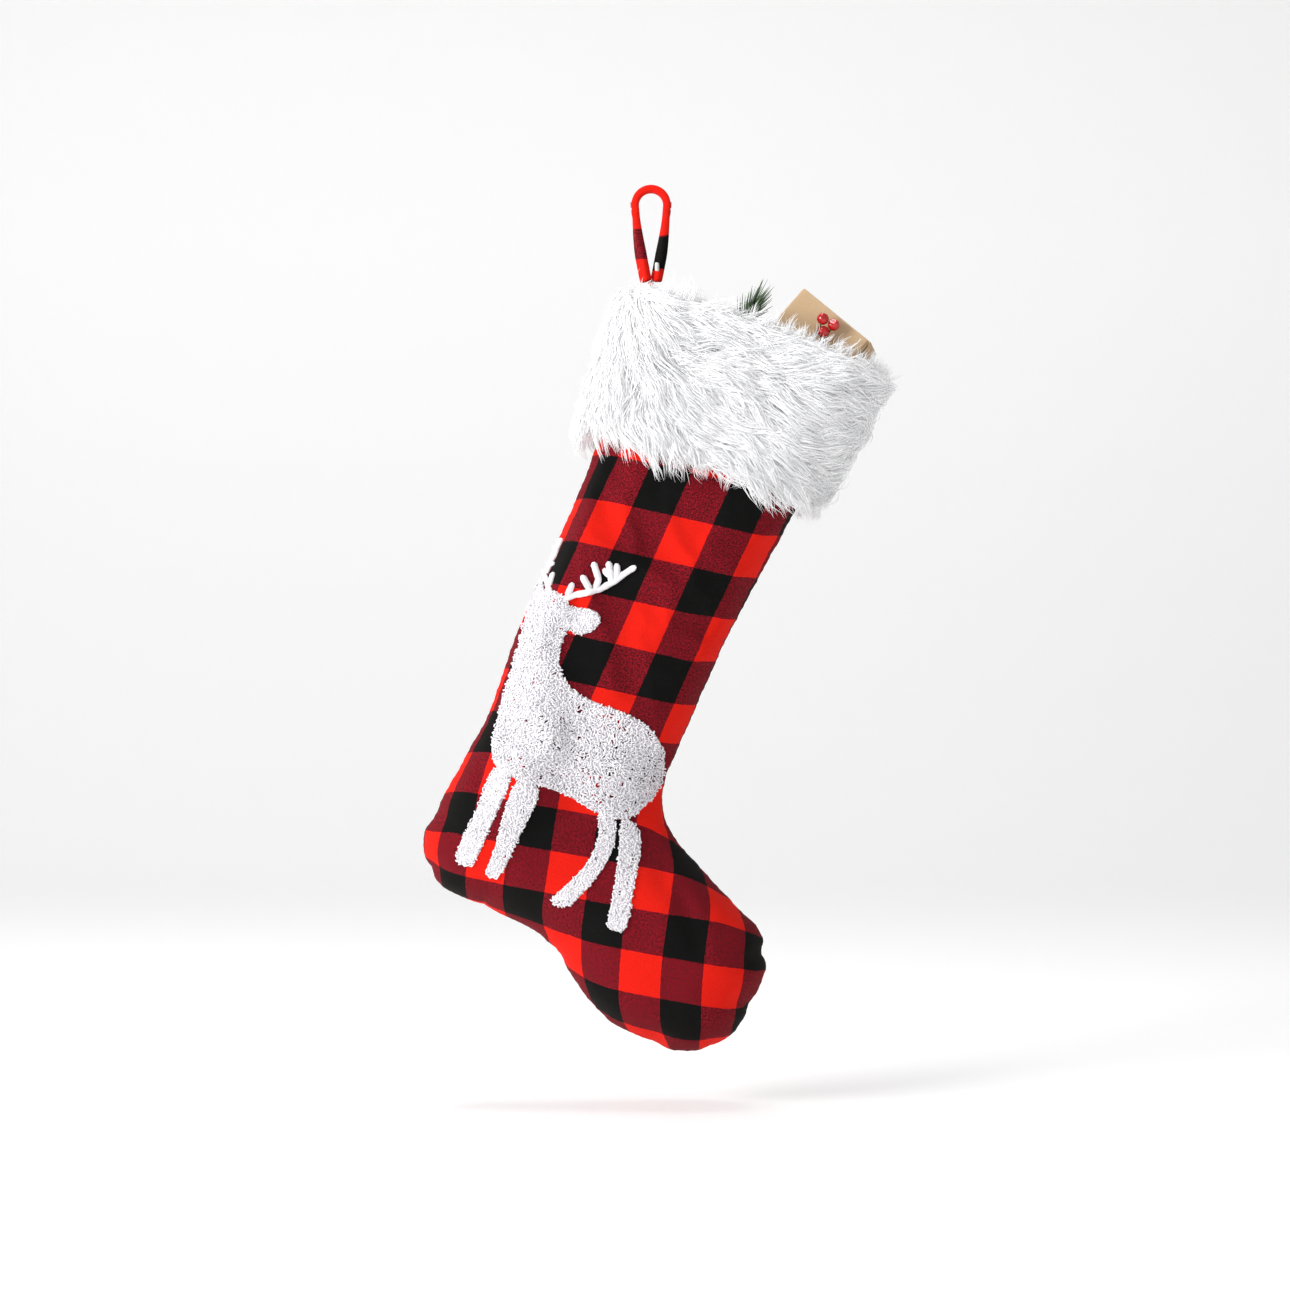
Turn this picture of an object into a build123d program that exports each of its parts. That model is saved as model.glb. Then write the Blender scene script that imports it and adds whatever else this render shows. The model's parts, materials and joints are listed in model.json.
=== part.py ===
from build123d import *
import os
from math import atan2, cos, degrees, radians, sin

# A hanging stocking, in millimetres. The origin is the point of the loop that rests on the hook, +Z is up
# and the reindeer faces -Y. The stocking is modelled upright about the base of its loop, with its leg
# along +Z and its toe towards +X, and is then turned to the angle at which it hangs.

# how it hangs
leg_lean = 24.0           # the leg's lean from the vertical, about Y
pivot_drop = 54.6         # from the hook down to the base of the loop
pivot_gap = 2.2           # from the pivot to the loop above it and to its tail below it

# the leg and foot, along the seam, measured from the pivot
mouth_left = -3.5         # heel-side edge at the rim
mouth_width = 146.0
rim_drop = 8.3            # pivot down to the rim on the heel side
rim_tilt = 4.0            # the rim rises towards the toe side
leg_left = 9.5            # heel-side edge under the cuff
leg_width = 119.0
calf_drop = 228.0
calf_bulge = 6.0          # fullness of the toe side under the cuff
cuff_line = 103.0         # pivot down to where the leg comes out of the cuff
ankle_drop = 275.0
ankle_hollow = 5.0        # how far the ankle draws in on the heel side
heel_drop = 384.0
heel_back = 5.0
instep_drop = 291.0
arch_start = 100.0
ball_start = 152.0
toe_drop = 417.0
toe_reach = 233.0
toe_top_drop = 331.0
heel_round = 32.0
toe_round = 42.0
instep_round = 40.0
bend_round = 60.0
thigh_round = 400.0
calf_back_round = 100.0
calf_round = 150.0

# the pillow shape of each half
half_depth = 31.0
side_taper = 16.0
face_round = 18.0

# cloth layers
flannel_t = 1.0
wadding_t = 2.0
lining_t = 0.5
facing_t = 1.0
facing_height = 40.0
backing_t = 1.5
pile_t = 12.0
pile_over_rim = 11.0
backing_height = 78.0
cuff_height = 86.0
cuff_round = 6.0
pile_clear = 17.0         # bare round where the loop comes out of the pile

# seams
binding_t = 2.0
binding_width = 1.6
stitch_r = 0.35
stitch_pitch = 12.0
thread_t = 0.4
dash_length = 3.0
dash_pitch = 7.0
hem_inset = 6.0

# the loop
strap_t = 4.7
strap_width = 9.0
eye_r = 7.2
eye_length = 41.0
loop_end_r = 6.5
strap_round = 1.0
tail_length = 32.0
tail_turn = 12.0
anchor_r = 1.8
tack_r = 1.0
tack_length = 4.8
tack_x = 3.9
tack_drop = 45.0

# the reindeer
pile_loop_t = 2.5
beam_width = 4.0
tine_width = 3.2

# the gift box, its wrap and how it stands in the mouth
gift_width = 52.0
gift_depth = 28.0
gift_height = 66.0
gift_top_left = (84.5, 34.5)
gift_lean = 17.0
gift_yaw = -15.0
paper_t = 0.4
box_t = 1.2
lid_height = 20.0
part_clear = 0.2
flap_width = 30.0
flap_height = 26.0
tape_width = 12.0
tape_length = 22.0
tape_t = 0.15

# the fir sprig
sprig_foot = (50.0, 0.0, -62.0)
sprig_lean = 9.0
sprig_length = 74.0
twig_r = 1.0
needle_r = 0.4
needle_length = 13.0
needle_spread = 38.0
needle_rows = 12
needles_round = 6
needle_pitch = 2.6
needle_top_gap = 3.0
tip_spread_share = 0.35

# the berries
berry_r = 3.6
berry_wire_r = 0.6
berry_behind_front = 9.6
berry_y = berry_behind_front - half_depth
berry_centres = [(102.5, 20.3), (109.8, 19.6), (106.0, 13.3)]
berry_joint = (104.0, -12.0)
berry_wire_foot = -48.0

# sizes of the working shapes that cut the others
cutter_size = 1400.0
outline_above_rim = 60.0
nearly_half = 0.48


def seam_outline():
    """The seam line of the whole stocking, closed by a straight edge well above the rim."""
    above = outline_above_rim
    left_slope = (leg_left - mouth_left) / (cuff_line - rim_drop)
    right = mouth_left + mouth_width
    leg_right = leg_left + leg_width
    points = [
        (mouth_left - left_slope * (above + rim_drop), above),
        (leg_left, -cuff_line),
        (leg_left, -calf_drop),
        (leg_left + ankle_hollow, -ankle_drop),
        (heel_back, -heel_drop),
        (arch_start, -heel_drop),
        (ball_start, -toe_drop),
        (toe_reach, -toe_drop),
        (toe_reach, -toe_top_drop),
        (leg_right, -instep_drop),
        (leg_right, -instep_drop * 0.6),
        (leg_right + calf_bulge, -cuff_line),
        (right + left_slope * above * 0.5, above),
    ]
    rounds = [
        0, thigh_round, calf_back_round, bend_round, heel_round, bend_round, bend_round,
        toe_round, toe_round * 0.8, instep_round, calf_round, calf_round, 0,
    ]
    return FilletPolyline(*points, radius=rounds, close=True)


def half_body(grow):
    """The front half of the stocking's solid shape, grown outwards by the given amount."""
    slant = radians(side_taper)
    with BuildPart() as half:
        with BuildSketch(Plane.XZ):
            with BuildLine():
                seam_outline()
            make_face()
            if grow:
                offset(amount=grow / cos(slant), kind=Kind.INTERSECTION)
        extrude(amount=half_depth + grow, taper=side_taper)
        front = half.faces().sort_by(Axis.Y)[0]
        fillet(front.edges(), radius=face_round + grow)
    return half.part


def trim(solid, lowest, highest):
    """Keep what lies between two heights above the rim's line, which tilts with the mouth."""
    middle = (lowest + highest) / 2
    slab = Box(cutter_size, cutter_size, highest - lowest)
    return solid & Pos(0, 0, -rim_drop) * Rot(0, -rim_tilt, 0) * Pos(0, 0, middle) * slab


def soften(cuff, radius):
    """Round the outer edges of the pile at its top and its bottom."""
    ends = cuff.faces().sort_by(Axis.Z)
    loose = [e for face in (ends[0], ends[-1]) for e in face.edges() if e.bounding_box().min.Y < -0.1]
    return fillet(loose, radius=radius)


def under_rim(solid):
    return trim(solid, -cutter_size / 2, 0.0)


def whole(half):
    """Both halves as one solid."""
    return half + mirror(half, about=Plane.XZ)


def to_hung(solid):
    """From upright about the pivot to the hanging pose under the hook."""
    return Pos(0, 0, -pivot_drop) * Rot(0, leg_lean, 0) * solid


def save(name, solid):
    export_step(solid, os.path.join("parts", name + ".step"))
    boxes = solid.bounding_box()
    print(f"{name:24s} {solid.volume:10.1f} mm3  {boxes.size.X:6.1f} {boxes.size.Y:6.1f} {boxes.size.Z:6.1f}")


def save_pair(name, front_half):
    save("front_" + name, to_hung(front_half))
    save("back_" + name, to_hung(mirror(front_half, about=Plane.XZ)))


# ---- the loop, drawn as it hangs from the hook ----

def teardrop(top_r, top_z, end_r, end_z):
    """The face between two round ends, one above the other."""
    circles = Pos(0, top_z) * Circle(top_r) + Pos(0, end_z) * Circle(end_r)
    return Plane.XZ * make_hull(circles.edges())


def strap_outline(grow):
    end_z = -pivot_drop + pivot_gap + loop_end_r
    return teardrop(eye_r + strap_t + grow, -eye_r, loop_end_r + grow, end_z)


def hanging_loop():
    tip_r = 0.6
    eye = teardrop(eye_r, -eye_r, tip_r, -eye_length + tip_r)
    face = strap_outline(0) - eye
    strap = extrude(face, amount=strap_width / 2, both=True)
    edges = strap.edges().filter_by(lambda e: abs(abs(e.center().Y) - strap_width / 2) < 0.01)
    return fillet(edges, radius=strap_round)


def loop_edge_stitching():
    """Short stitches on the strap's outer face, in a row near each edge."""
    ring = extrude(strap_outline(thread_t) - strap_outline(0), amount=strap_width / 2, both=True)
    row_y = strap_width / 2 - 2 * strap_round
    step = dash_pitch * 0.7
    rows = int((eye_length - eye_r) / step)
    stitches = Part()
    for side in (-row_y, row_y):
        for row in range(rows):
            stitches += Pos(0, side, -eye_r - row * step) * Box(60, 2 * thread_t, dash_length)
    return stitches & ring


def loop_bar_tack():
    """A raised bar of thread on the strap's front face."""
    bar = Cylinder(tack_r, tack_length - 2 * tack_r) + Pos(0, 0, tack_length / 2 - tack_r) * Sphere(tack_r)
    bar += Pos(0, 0, tack_r - tack_length / 2) * Sphere(tack_r)
    front = Pos(0, -tack_length, 0) * Box(tack_length, 2 * tack_length, 2 * tack_length)
    return Pos(tack_x, -strap_width / 2, -tack_drop) * (bar & front)


def loop_anchor_tack():
    """The knot of thread that the loop and its tail both turn on."""
    return Pos(0, 0, -pivot_drop) * Sphere(anchor_r)


def loop_tail(cavity):
    """The strap's end, lying against the facing at the heel-side seam."""
    tail = Box(strap_t, strap_width, tail_length)
    top = tail.edges().filter_by(Axis.Y).group_by(Axis.Z)[-1]
    tail = fillet(top, radius=strap_t * nearly_half)
    tail = Rot(0, -tail_turn, 0) * Pos(0, 0, -pivot_gap - tail_length / 2) * tail
    return trim(tail, 0, tail_length) + (under_rim(tail) & cavity)


# ---- seams ----

def seam_binding(outer, inner):
    """The narrow bound edge of the two panels, inside the seam line."""
    ring = whole(outer) - whole(inner)
    return ring & Box(cutter_size, binding_t, cutter_size)


def seam_stitches(inset):
    """Stitches through the binding, all along the seam, as far up as the rim."""
    with BuildLine() as seam:
        seam_outline()
    wire = seam.wires()[0].offset_2d(-inset)
    count = int(wire.length / stitch_pitch)
    stitches = []
    for number in range(count):
        place = wire.position_at(number / count)
        if place.Y < -rim_drop - stitch_pitch:
            stitches.append(Pos(place.X, 0, place.Y) * Rot(90, 0, 0) * Cylinder(stitch_r, binding_t))
    return Part() + stitches


def dashes(height, along):
    """A row of short cutters across the mouth, at a height above the rim's line."""
    count = int(mouth_width / along)
    row = []
    for number in range(count):
        x = mouth_left + (number + 0.5) * along
        row.append(Pos(x, 0, height) * Box(dash_length, 400, 2 * thread_t))
    return Pos(0, 0, -rim_drop) * Rot(0, -rim_tilt, 0) * (Part() + row)


# ---- the reindeer ----

def flat(points, corner):
    """A closed shape in the plane of the seam, with its corners rounded."""
    return Plane.XZ * make_face(FilletPolyline(*points, radius=corner, close=True).edges())


def stroke(points, width):
    """A round-ended line of the given width through the points."""
    shape = Sketch()
    for (x0, y0), (x1, y1) in zip(points, points[1:]):
        run = Vector(x1 - x0, y1 - y0)
        turn = degrees(atan2(y1 - y0, x1 - x0))
        shape += Pos((x0 + x1) / 2, (y0 + y1) / 2) * Rot(0, 0, turn) * SlotCenterToCenter(run.length, width)
    return Plane.XZ * shape


def raised(shape, pile):
    """The part of the front pile layer that lies over a flat shape."""
    return extrude(shape, amount=2 * half_depth) & pile


def coat():
    return flat(
        [
            (11, -205), (13, -194), (27, -191), (36, -197), (40, -211), (39, -220), (42, -231), (50, -240),
            (62, -243), (100, -240), (118, -248), (127, -264), (127, -280), (118, -300), (98, -300),
            (80, -299), (64, -300), (30, -301), (23, -282), (19, -250), (15, -224),
        ],
        2.6,
    )


def muzzle():
    head = [(30, -197), (40, -194), (54, -192), (57, -200), (53, -208), (44, -212), (38, -209)]
    return flat(head, 2.4) - coat()


def ear():
    return flat([(11, -206), (6, -200), (6, -189), (9, -184), (13, -188), (18, -195)], 1.0) - coat()


def legs():
    near_fore = [(48, -299), (65, -301), (63, -330), (63, -360), (56, -363), (53, -358), (53, -345), (48, -318)]
    far_fore = [(31, -299), (46, -299), (45, -330), (46, -360), (38, -363), (32, -358), (34, -330)]
    near_hind = [
        (113, -299), (120, -297), (131, -306), (136, -330), (144, -358), (137, -361), (131, -360),
        (127, -338), (120, -316),
    ]
    far_hind = [
        (98, -299), (111, -299), (118, -318), (113, -342), (106, -361), (94, -361), (98, -352),
        (107, -330), (106, -312),
    ]
    shapes = Sketch()
    for outline in (near_fore, far_fore, near_hind, far_hind):
        shapes += flat(outline, 1.2)
    return shapes - coat()


def antler(beam, tines):
    shape = stroke(beam, beam_width)
    for tine in tines:
        shape += stroke(tine, tine_width)
    return shape - coat()


def antler_right():
    beam = [(30, -194), (35, -189), (41, -185), (47, -180), (53, -172), (57, -165), (61, -159)]
    brow = [(31, -192), (31, -183)]
    second = [(42, -183), (34, -177)]
    third = [(44, -182), (44, -175), (37, -167)]
    palm = [(52, -174), (45, -163), (50, -162), (55, -165), (56, -171)]
    link = [(44, -168), (50, -171)]
    return antler(beam, [brow, second, third, palm, link])


def antler_left():
    beam = [(22, -195), (17, -189), (11, -183), (9, -177), (11, -171), (14, -166)]
    brow = [(19, -191), (18, -182)]
    second = [(10, -180), (16, -177)]
    outer = [(9, -178), (8, -173), (9, -161)]
    return antler(beam, [brow, second, outer]) - ear()


# ---- the gift, built standing at its own origin and then put in the mouth ----

def gift_place():
    """Centre of the box, from the top corner of its front face that shows at the heel side."""
    yaw = radians(gift_yaw)
    reach = (gift_width * cos(yaw) + gift_depth * abs(sin(yaw))) / 2
    top_x = gift_top_left[0] + reach * cos(radians(gift_lean))
    top_z = gift_top_left[1] - reach * sin(radians(gift_lean))
    return Pos(top_x, 0, top_z) * Rot(0, gift_lean, 0) * Rot(0, 0, gift_yaw) * Pos(0, 0, -gift_height / 2)


def gift_wrap():
    outer = Box(gift_width, gift_depth, gift_height)
    hollow = Box(gift_width - 2 * paper_t, gift_depth - 2 * paper_t, gift_height - 2 * paper_t)
    return outer - hollow


def gift_box_base():
    inset = paper_t + part_clear + box_t
    outer = Box(gift_width - 2 * inset, gift_depth - 2 * inset, gift_height - 2 * inset)
    hollow = Box(
        gift_width - 2 * inset - 2 * box_t,
        gift_depth - 2 * inset - 2 * box_t,
        gift_height - 2 * inset,
    )
    return outer - Pos(0, 0, box_t) * hollow


def gift_box_lid():
    inset = paper_t + part_clear
    under = gift_height / 2 - inset
    outer = Pos(0, 0, under - lid_height / 2) * Box(gift_width - 2 * inset, gift_depth - 2 * inset, lid_height)
    hollow = Pos(0, 0, under - box_t - lid_height / 2) * Box(
        gift_width - 2 * inset - 2 * box_t,
        gift_depth - 2 * inset - 2 * box_t,
        lid_height,
    )
    return outer - hollow


def gift_end_flap():
    """The folded point of paper on the gift's toe-side end."""
    half = flap_width / 2
    top = gift_height / 2
    with BuildPart() as flap:
        with BuildSketch(Plane.YZ.offset(gift_width / 2)):
            Polygon((-half, top), (half, top), (0, top - flap_height), align=None)
        extrude(amount=paper_t)
    return flap.part


def gift_tape():
    """One strip of clear tape down the end, over the tip of the flap."""
    start = gift_height / 2 - flap_height
    return Pos(gift_width / 2 + paper_t + tape_t / 2, 0, start) * Box(tape_t, tape_width, tape_length)


# ---- the sprig and the berries ----

def sprig_place():
    return Pos(*sprig_foot) * Rot(0, sprig_lean, 0)


def sprig_stem():
    return sprig_place() * Pos(0, 0, sprig_length / 2) * Cylinder(twig_r, sprig_length)


def sprig_needles():
    """Rows of needles round the top of the stem, leaning outwards and towards its tip."""
    needles = []
    for row in range(needle_rows):
        height = sprig_length - needle_top_gap - row * needle_pitch
        lean = needle_spread * (tip_spread_share + (1 - tip_spread_share) * row / needle_rows)
        for number in range(needles_round):
            turn = 360 / needles_round * (number + 0.5 * (row % 2))
            needle = Pos(0, 0, needle_length / 2) * Cylinder(needle_r, needle_length)
            needles.append(Pos(0, 0, height) * Rot(0, 0, turn) * Rot(0, lean, 0) * needle)
    return sprig_place() * (Part() + needles)


def berries():
    fruit = []
    for x, z in berry_centres:
        fruit.append(Pos(x, berry_y, z) * Sphere(berry_r))
    return Part() + fruit


def berry_wires(fruit):
    """One wire from each berry down to a shared stalk that stands in the mouth."""
    joint = Vector(berry_joint[0], berry_y, berry_joint[1])
    foot = Vector(berry_joint[0], berry_y, berry_wire_foot)
    wires = Part() + wire_between(foot, joint) + Pos(joint) * Sphere(berry_wire_r)
    for x, z in berry_centres:
        wires += wire_between(joint, Vector(x, berry_y, z))
    return wires - fruit


def wire_between(start, end):
    run = end - start
    plane = Plane(origin=start, z_dir=run)
    return plane * Pos(0, 0, run.length / 2) * Cylinder(berry_wire_r, run.length)


def build():
    os.makedirs("parts", exist_ok=True)
    under_flannel = -flannel_t
    under_wadding = under_flannel - wadding_t
    under_lining = under_wadding - lining_t
    under_facing = under_lining - facing_t

    # front halves at each depth of the cloth, each cut off at the rim
    grown = half_body(backing_t + pile_t)
    over_backing = half_body(backing_t)
    surface = half_body(0)
    flannel_in = half_body(under_flannel)
    wadding_in = half_body(under_wadding)
    lining_in = half_body(under_lining)
    facing_in = half_body(under_facing)

    # loop
    save("hanging_loop", hanging_loop())
    save("loop_edge_stitching", loop_edge_stitching())
    save("loop_bar_tack", loop_bar_tack())
    save("loop_anchor_tack", loop_anchor_tack())
    save("loop_tail", to_hung(loop_tail(whole(facing_in))))

    # walls
    binding = under_rim(seam_binding(flannel_in, half_body(under_flannel - binding_width)))
    stitches = seam_stitches(flannel_t + binding_width / 2)
    save_pair("panel", under_rim(surface - flannel_in))
    save_pair("interlining", under_rim(flannel_in - wadding_in) - binding)
    save_pair("lining", under_rim(wadding_in - lining_in))
    save("seam_binding", to_hung(binding - stitches))
    save("seam_stitching", to_hung(stitches))

    # cuff
    fur_zone = soften(trim(grown, -cuff_height, pile_over_rim), cuff_round)
    fur = fur_zone - under_rim(over_backing) - surface - Sphere(pile_clear)
    save_pair("cuff_pile", fur)
    save_pair("cuff_backing", trim(over_backing - surface, -backing_height, 0))
    save_pair("mouth_facing", trim(lining_in - facing_in, -facing_height, 0))
    thread_face = whole(facing_in - half_body(under_facing - thread_t))
    save("rim_stitching", to_hung((dashes(-hem_inset, dash_pitch) & thread_face) - loop_tail(whole(facing_in))))

    # reindeer
    pile = half_body(pile_loop_t) - surface
    save("reindeer_coat", to_hung(raised(coat(), pile)))
    save("reindeer_muzzle", to_hung(raised(muzzle(), pile)))
    save("reindeer_ear", to_hung(raised(ear(), pile)))
    save("reindeer_legs", to_hung(raised(legs(), pile)))
    save("reindeer_antler_left", to_hung(raised(antler_left(), pile)))
    save("reindeer_antler_right", to_hung(raised(antler_right(), pile)))

    # what is in the mouth
    place = gift_place()
    save("gift_wrap", to_hung(place * gift_wrap()))
    save("gift_box_base", to_hung(place * gift_box_base()))
    save("gift_box_lid", to_hung(place * gift_box_lid()))
    save("gift_end_flap", to_hung(place * gift_end_flap()))
    save("gift_tape", to_hung(place * gift_tape()))
    save("sprig_stem", to_hung(sprig_stem()))
    save("sprig_needles", to_hung(sprig_needles() - sprig_stem()))
    fruit = berries()
    save("berries", to_hung(fruit))
    save("berry_wires", to_hung(berry_wires(fruit)))


build()
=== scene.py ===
import bpy
import bmesh
import json
import math
import numpy as np
from mathutils import Matrix, Vector, geometry
from mathutils.bvhtree import BVHTree


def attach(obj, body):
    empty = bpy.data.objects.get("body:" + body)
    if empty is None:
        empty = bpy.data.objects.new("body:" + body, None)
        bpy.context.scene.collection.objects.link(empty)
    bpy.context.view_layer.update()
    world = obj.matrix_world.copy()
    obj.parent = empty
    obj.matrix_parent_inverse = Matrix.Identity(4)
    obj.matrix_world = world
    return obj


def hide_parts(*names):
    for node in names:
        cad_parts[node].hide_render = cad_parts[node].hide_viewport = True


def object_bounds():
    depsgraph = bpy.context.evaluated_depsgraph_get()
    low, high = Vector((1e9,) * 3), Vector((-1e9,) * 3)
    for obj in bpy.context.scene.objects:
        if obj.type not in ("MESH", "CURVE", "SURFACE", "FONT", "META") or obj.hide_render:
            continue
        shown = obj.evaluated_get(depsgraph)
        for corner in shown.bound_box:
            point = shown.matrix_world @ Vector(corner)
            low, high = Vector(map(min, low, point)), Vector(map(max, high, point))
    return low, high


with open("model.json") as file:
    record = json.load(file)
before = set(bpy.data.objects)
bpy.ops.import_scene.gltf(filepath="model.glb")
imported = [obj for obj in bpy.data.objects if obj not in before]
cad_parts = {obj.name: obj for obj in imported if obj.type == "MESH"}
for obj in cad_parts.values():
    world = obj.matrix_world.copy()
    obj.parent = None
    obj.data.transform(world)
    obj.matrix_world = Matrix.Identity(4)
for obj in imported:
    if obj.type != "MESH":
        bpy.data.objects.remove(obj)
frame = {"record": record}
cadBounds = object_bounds()

mm = 0.001
record = frame["record"]
joints = {j["name"]: j for j in record["behaviour"]["joints"]}
pivot = Vector(joints["swing"]["pos_m"])
legAxis = Vector(joints["berries_out"]["axis"])
hang = Matrix.Translation(pivot) @ Matrix.Rotation(math.atan2(legAxis.x, legAxis.z), 4, "Y")
scene = bpy.context.scene
scene.view_settings.view_transform = "Standard"


# Small helpers

def newObject(name, mesh, materials=()):
    obj = bpy.data.objects.new(name, mesh)
    scene.collection.objects.link(obj)
    for material in materials:
        mesh.materials.append(material)
    return obj


def fromBmesh(name, bm, materials=(), upright=True, smooth=True):
    # pieces are shaped upright about the pivot, in metres, and turned to the hanging pose here
    if upright:
        bm.transform(hang)
    mesh = bpy.data.meshes.new(name)
    bm.to_mesh(mesh)
    bm.free()
    if smooth:
        mesh.shade_smooth()
    return newObject(name, mesh, materials)


def ridePiece(obj, body, nodes=()):
    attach(obj, body)
    if nodes:
        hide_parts(*nodes)
    return obj


def addModifier(obj, kind, **values):
    modifier = obj.modifiers.new(kind.lower(), kind)
    for key, value in values.items():
        setattr(modifier, key, value)
    return modifier


def evaluated(obj):
    # a plain mesh of the object with its modifiers applied
    graph = bpy.context.evaluated_depsgraph_get()
    return bpy.data.meshes.new_from_object(obj.evaluated_get(graph))


def coords(mesh):
    flat = np.empty(len(mesh.vertices) * 3)
    mesh.vertices.foreach_get("co", flat)
    return flat.reshape(-1, 3)


def roundMesh(name, runs, radius, materials, resolution=0, caps=False, radii=None, tones=None, closed=False):
    # a round section carried along each run of points, all made into one mesh
    curve = bpy.data.curves.new(name, "CURVE")
    curve.dimensions = "3D"
    curve.bevel_depth = radius * mm
    curve.bevel_resolution = resolution
    curve.use_fill_caps = caps
    for number, run in enumerate(runs):
        spline = curve.splines.new("POLY")
        spline.points.add(len(run) - 1)
        spline.points.foreach_set("co", [c for p in run for c in (*p, 1.0)])
        spline.use_cyclic_u = closed
        if radii is not None:
            spline.points.foreach_set("radius", radii[number])
        if tones is not None:
            spline.material_index = int(tones[number])
    for material in materials:
        curve.materials.append(material)
    holder = bpy.data.objects.new(name + "Curve", curve)
    scene.collection.objects.link(holder)
    mesh = evaluated(holder)
    bpy.data.objects.remove(holder)
    mesh.shade_smooth()
    return newObject(name, mesh)


# Node helpers

class Nodes:
    # short calls for building a node tree
    def __init__(self, tree):
        self.tree = tree

    def add(self, kind, **values):
        node = self.tree.nodes.new(kind)
        for key, value in values.items():
            setattr(node, key, value)
        return node

    def link(self, source, target):
        self.tree.links.new(source, target)

    def put(self, socket, value):
        if isinstance(value, bpy.types.NodeSocket):
            self.link(value, socket)
        else:
            socket.default_value = value

    def math(self, operation, a, b=0.0, c=0.0):
        node = self.add("ShaderNodeMath", operation=operation)
        for socket, value in zip(node.inputs, (a, b, c)):
            self.put(socket, value)
        return node.outputs[0]

    def ramp(self, value, low, high):
        node = self.add("ShaderNodeMapRange", clamp=True)
        self.put(node.inputs["Value"], value)
        node.inputs["From Min"].default_value = low
        node.inputs["From Max"].default_value = high
        return node.outputs[0]

    def mix(self, factor, a, b):
        node = self.add("ShaderNodeMix", data_type="RGBA")
        self.put(node.inputs[0], factor)
        self.put(node.inputs[6], a)
        self.put(node.inputs[7], b)
        return node.outputs[2]

    def noise(self, vector, scale, detail=2.0, roughness=0.5):
        node = self.add("ShaderNodeTexNoise")
        self.put(node.inputs["Vector"], vector)
        node.inputs["Scale"].default_value = scale
        node.inputs["Detail"].default_value = detail
        node.inputs["Roughness"].default_value = roughness
        return node.outputs["Fac"]

    def combine(self, x, y, z=0.0):
        node = self.add("ShaderNodeCombineXYZ")
        for socket, value in zip(node.inputs, (x, y, z)):
            self.put(socket, value)
        return node.outputs[0]

    def separate(self, vector):
        node = self.add("ShaderNodeSeparateXYZ")
        self.link(vector, node.inputs[0])
        return node.outputs


def newGroup(name, inputs, outputs):
    group = bpy.data.node_groups.new(name, "ShaderNodeTree")
    for socketName, kind, value in inputs:
        socket = group.interface.new_socket(socketName, in_out="INPUT", socket_type=kind)
        if value is not None:
            socket.default_value = value
    for socketName, kind in outputs:
        group.interface.new_socket(socketName, in_out="OUTPUT", socket_type=kind)
    build = Nodes(group)
    return group, build, build.add("NodeGroupInput"), build.add("NodeGroupOutput")


def newMaterial(name, roughness=0.8, **shader):
    material = bpy.data.materials.new(name)
    material.use_nodes = True
    build = Nodes(material.node_tree)
    bsdf = material.node_tree.nodes["Principled BSDF"]
    bsdf.inputs["Roughness"].default_value = roughness
    for key, value in shader.items():
        bsdf.inputs[key].default_value = value
    return material, build, bsdf


def useGroup(build, group, **values):
    node = build.add("ShaderNodeGroup", node_tree=group)
    for key, value in values.items():
        build.put(node.inputs[key], value)
    return node


def addBump(build, bsdf, height, distance, strength=1.0):
    bump = build.add("ShaderNodeBump")
    bump.inputs["Strength"].default_value = strength
    bump.inputs["Distance"].default_value = distance
    build.put(bump.inputs["Height"], height)
    build.link(bump.outputs[0], bsdf.inputs["Normal"])
    return bump


def objectCoords(build, scale=(1, 1, 1)):
    source = build.add("ShaderNodeTexCoord").outputs["Object"]
    mapping = build.add("ShaderNodeMapping")
    mapping.inputs["Scale"].default_value = scale
    build.link(source, mapping.inputs["Vector"])
    return mapping.outputs[0]


def tonedMaterial(name, roughness, dark, light, noise, span=None, bump=None, bumpNoise=None,
                  stretch=(1, 1, 1), **shader):
    # two tones mixed by a noise; noise is scale, detail and roughness, bump is millimetres and strength
    material, build, bsdf = newMaterial(name, roughness, **shader)
    position = objectCoords(build, stretch)
    tone = build.noise(position, *noise)
    mixing = build.ramp(tone, *span) if span else tone
    build.link(build.mix(mixing, (*dark, 1), (*light, 1)), bsdf.inputs["Base Color"])
    if bump:
        height = build.noise(position, *bumpNoise) if bumpNoise else tone
        addBump(build, bsdf, height, bump[0] * mm, bump[1])
    return material


# Cloth materials

flannel = dict(
    red=(0.74, 0.013, 0.006, 1), black=(0.004, 0.0045, 0.0042, 1), wine=(0.50, 0.008, 0.026, 1),
    square=25.4 * mm, threads=38.0, wobble=0.05, fuzz=4.2, smear=0.34, shade=(0.74, 0.4),
    fullTurn=6.2832,
)


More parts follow.
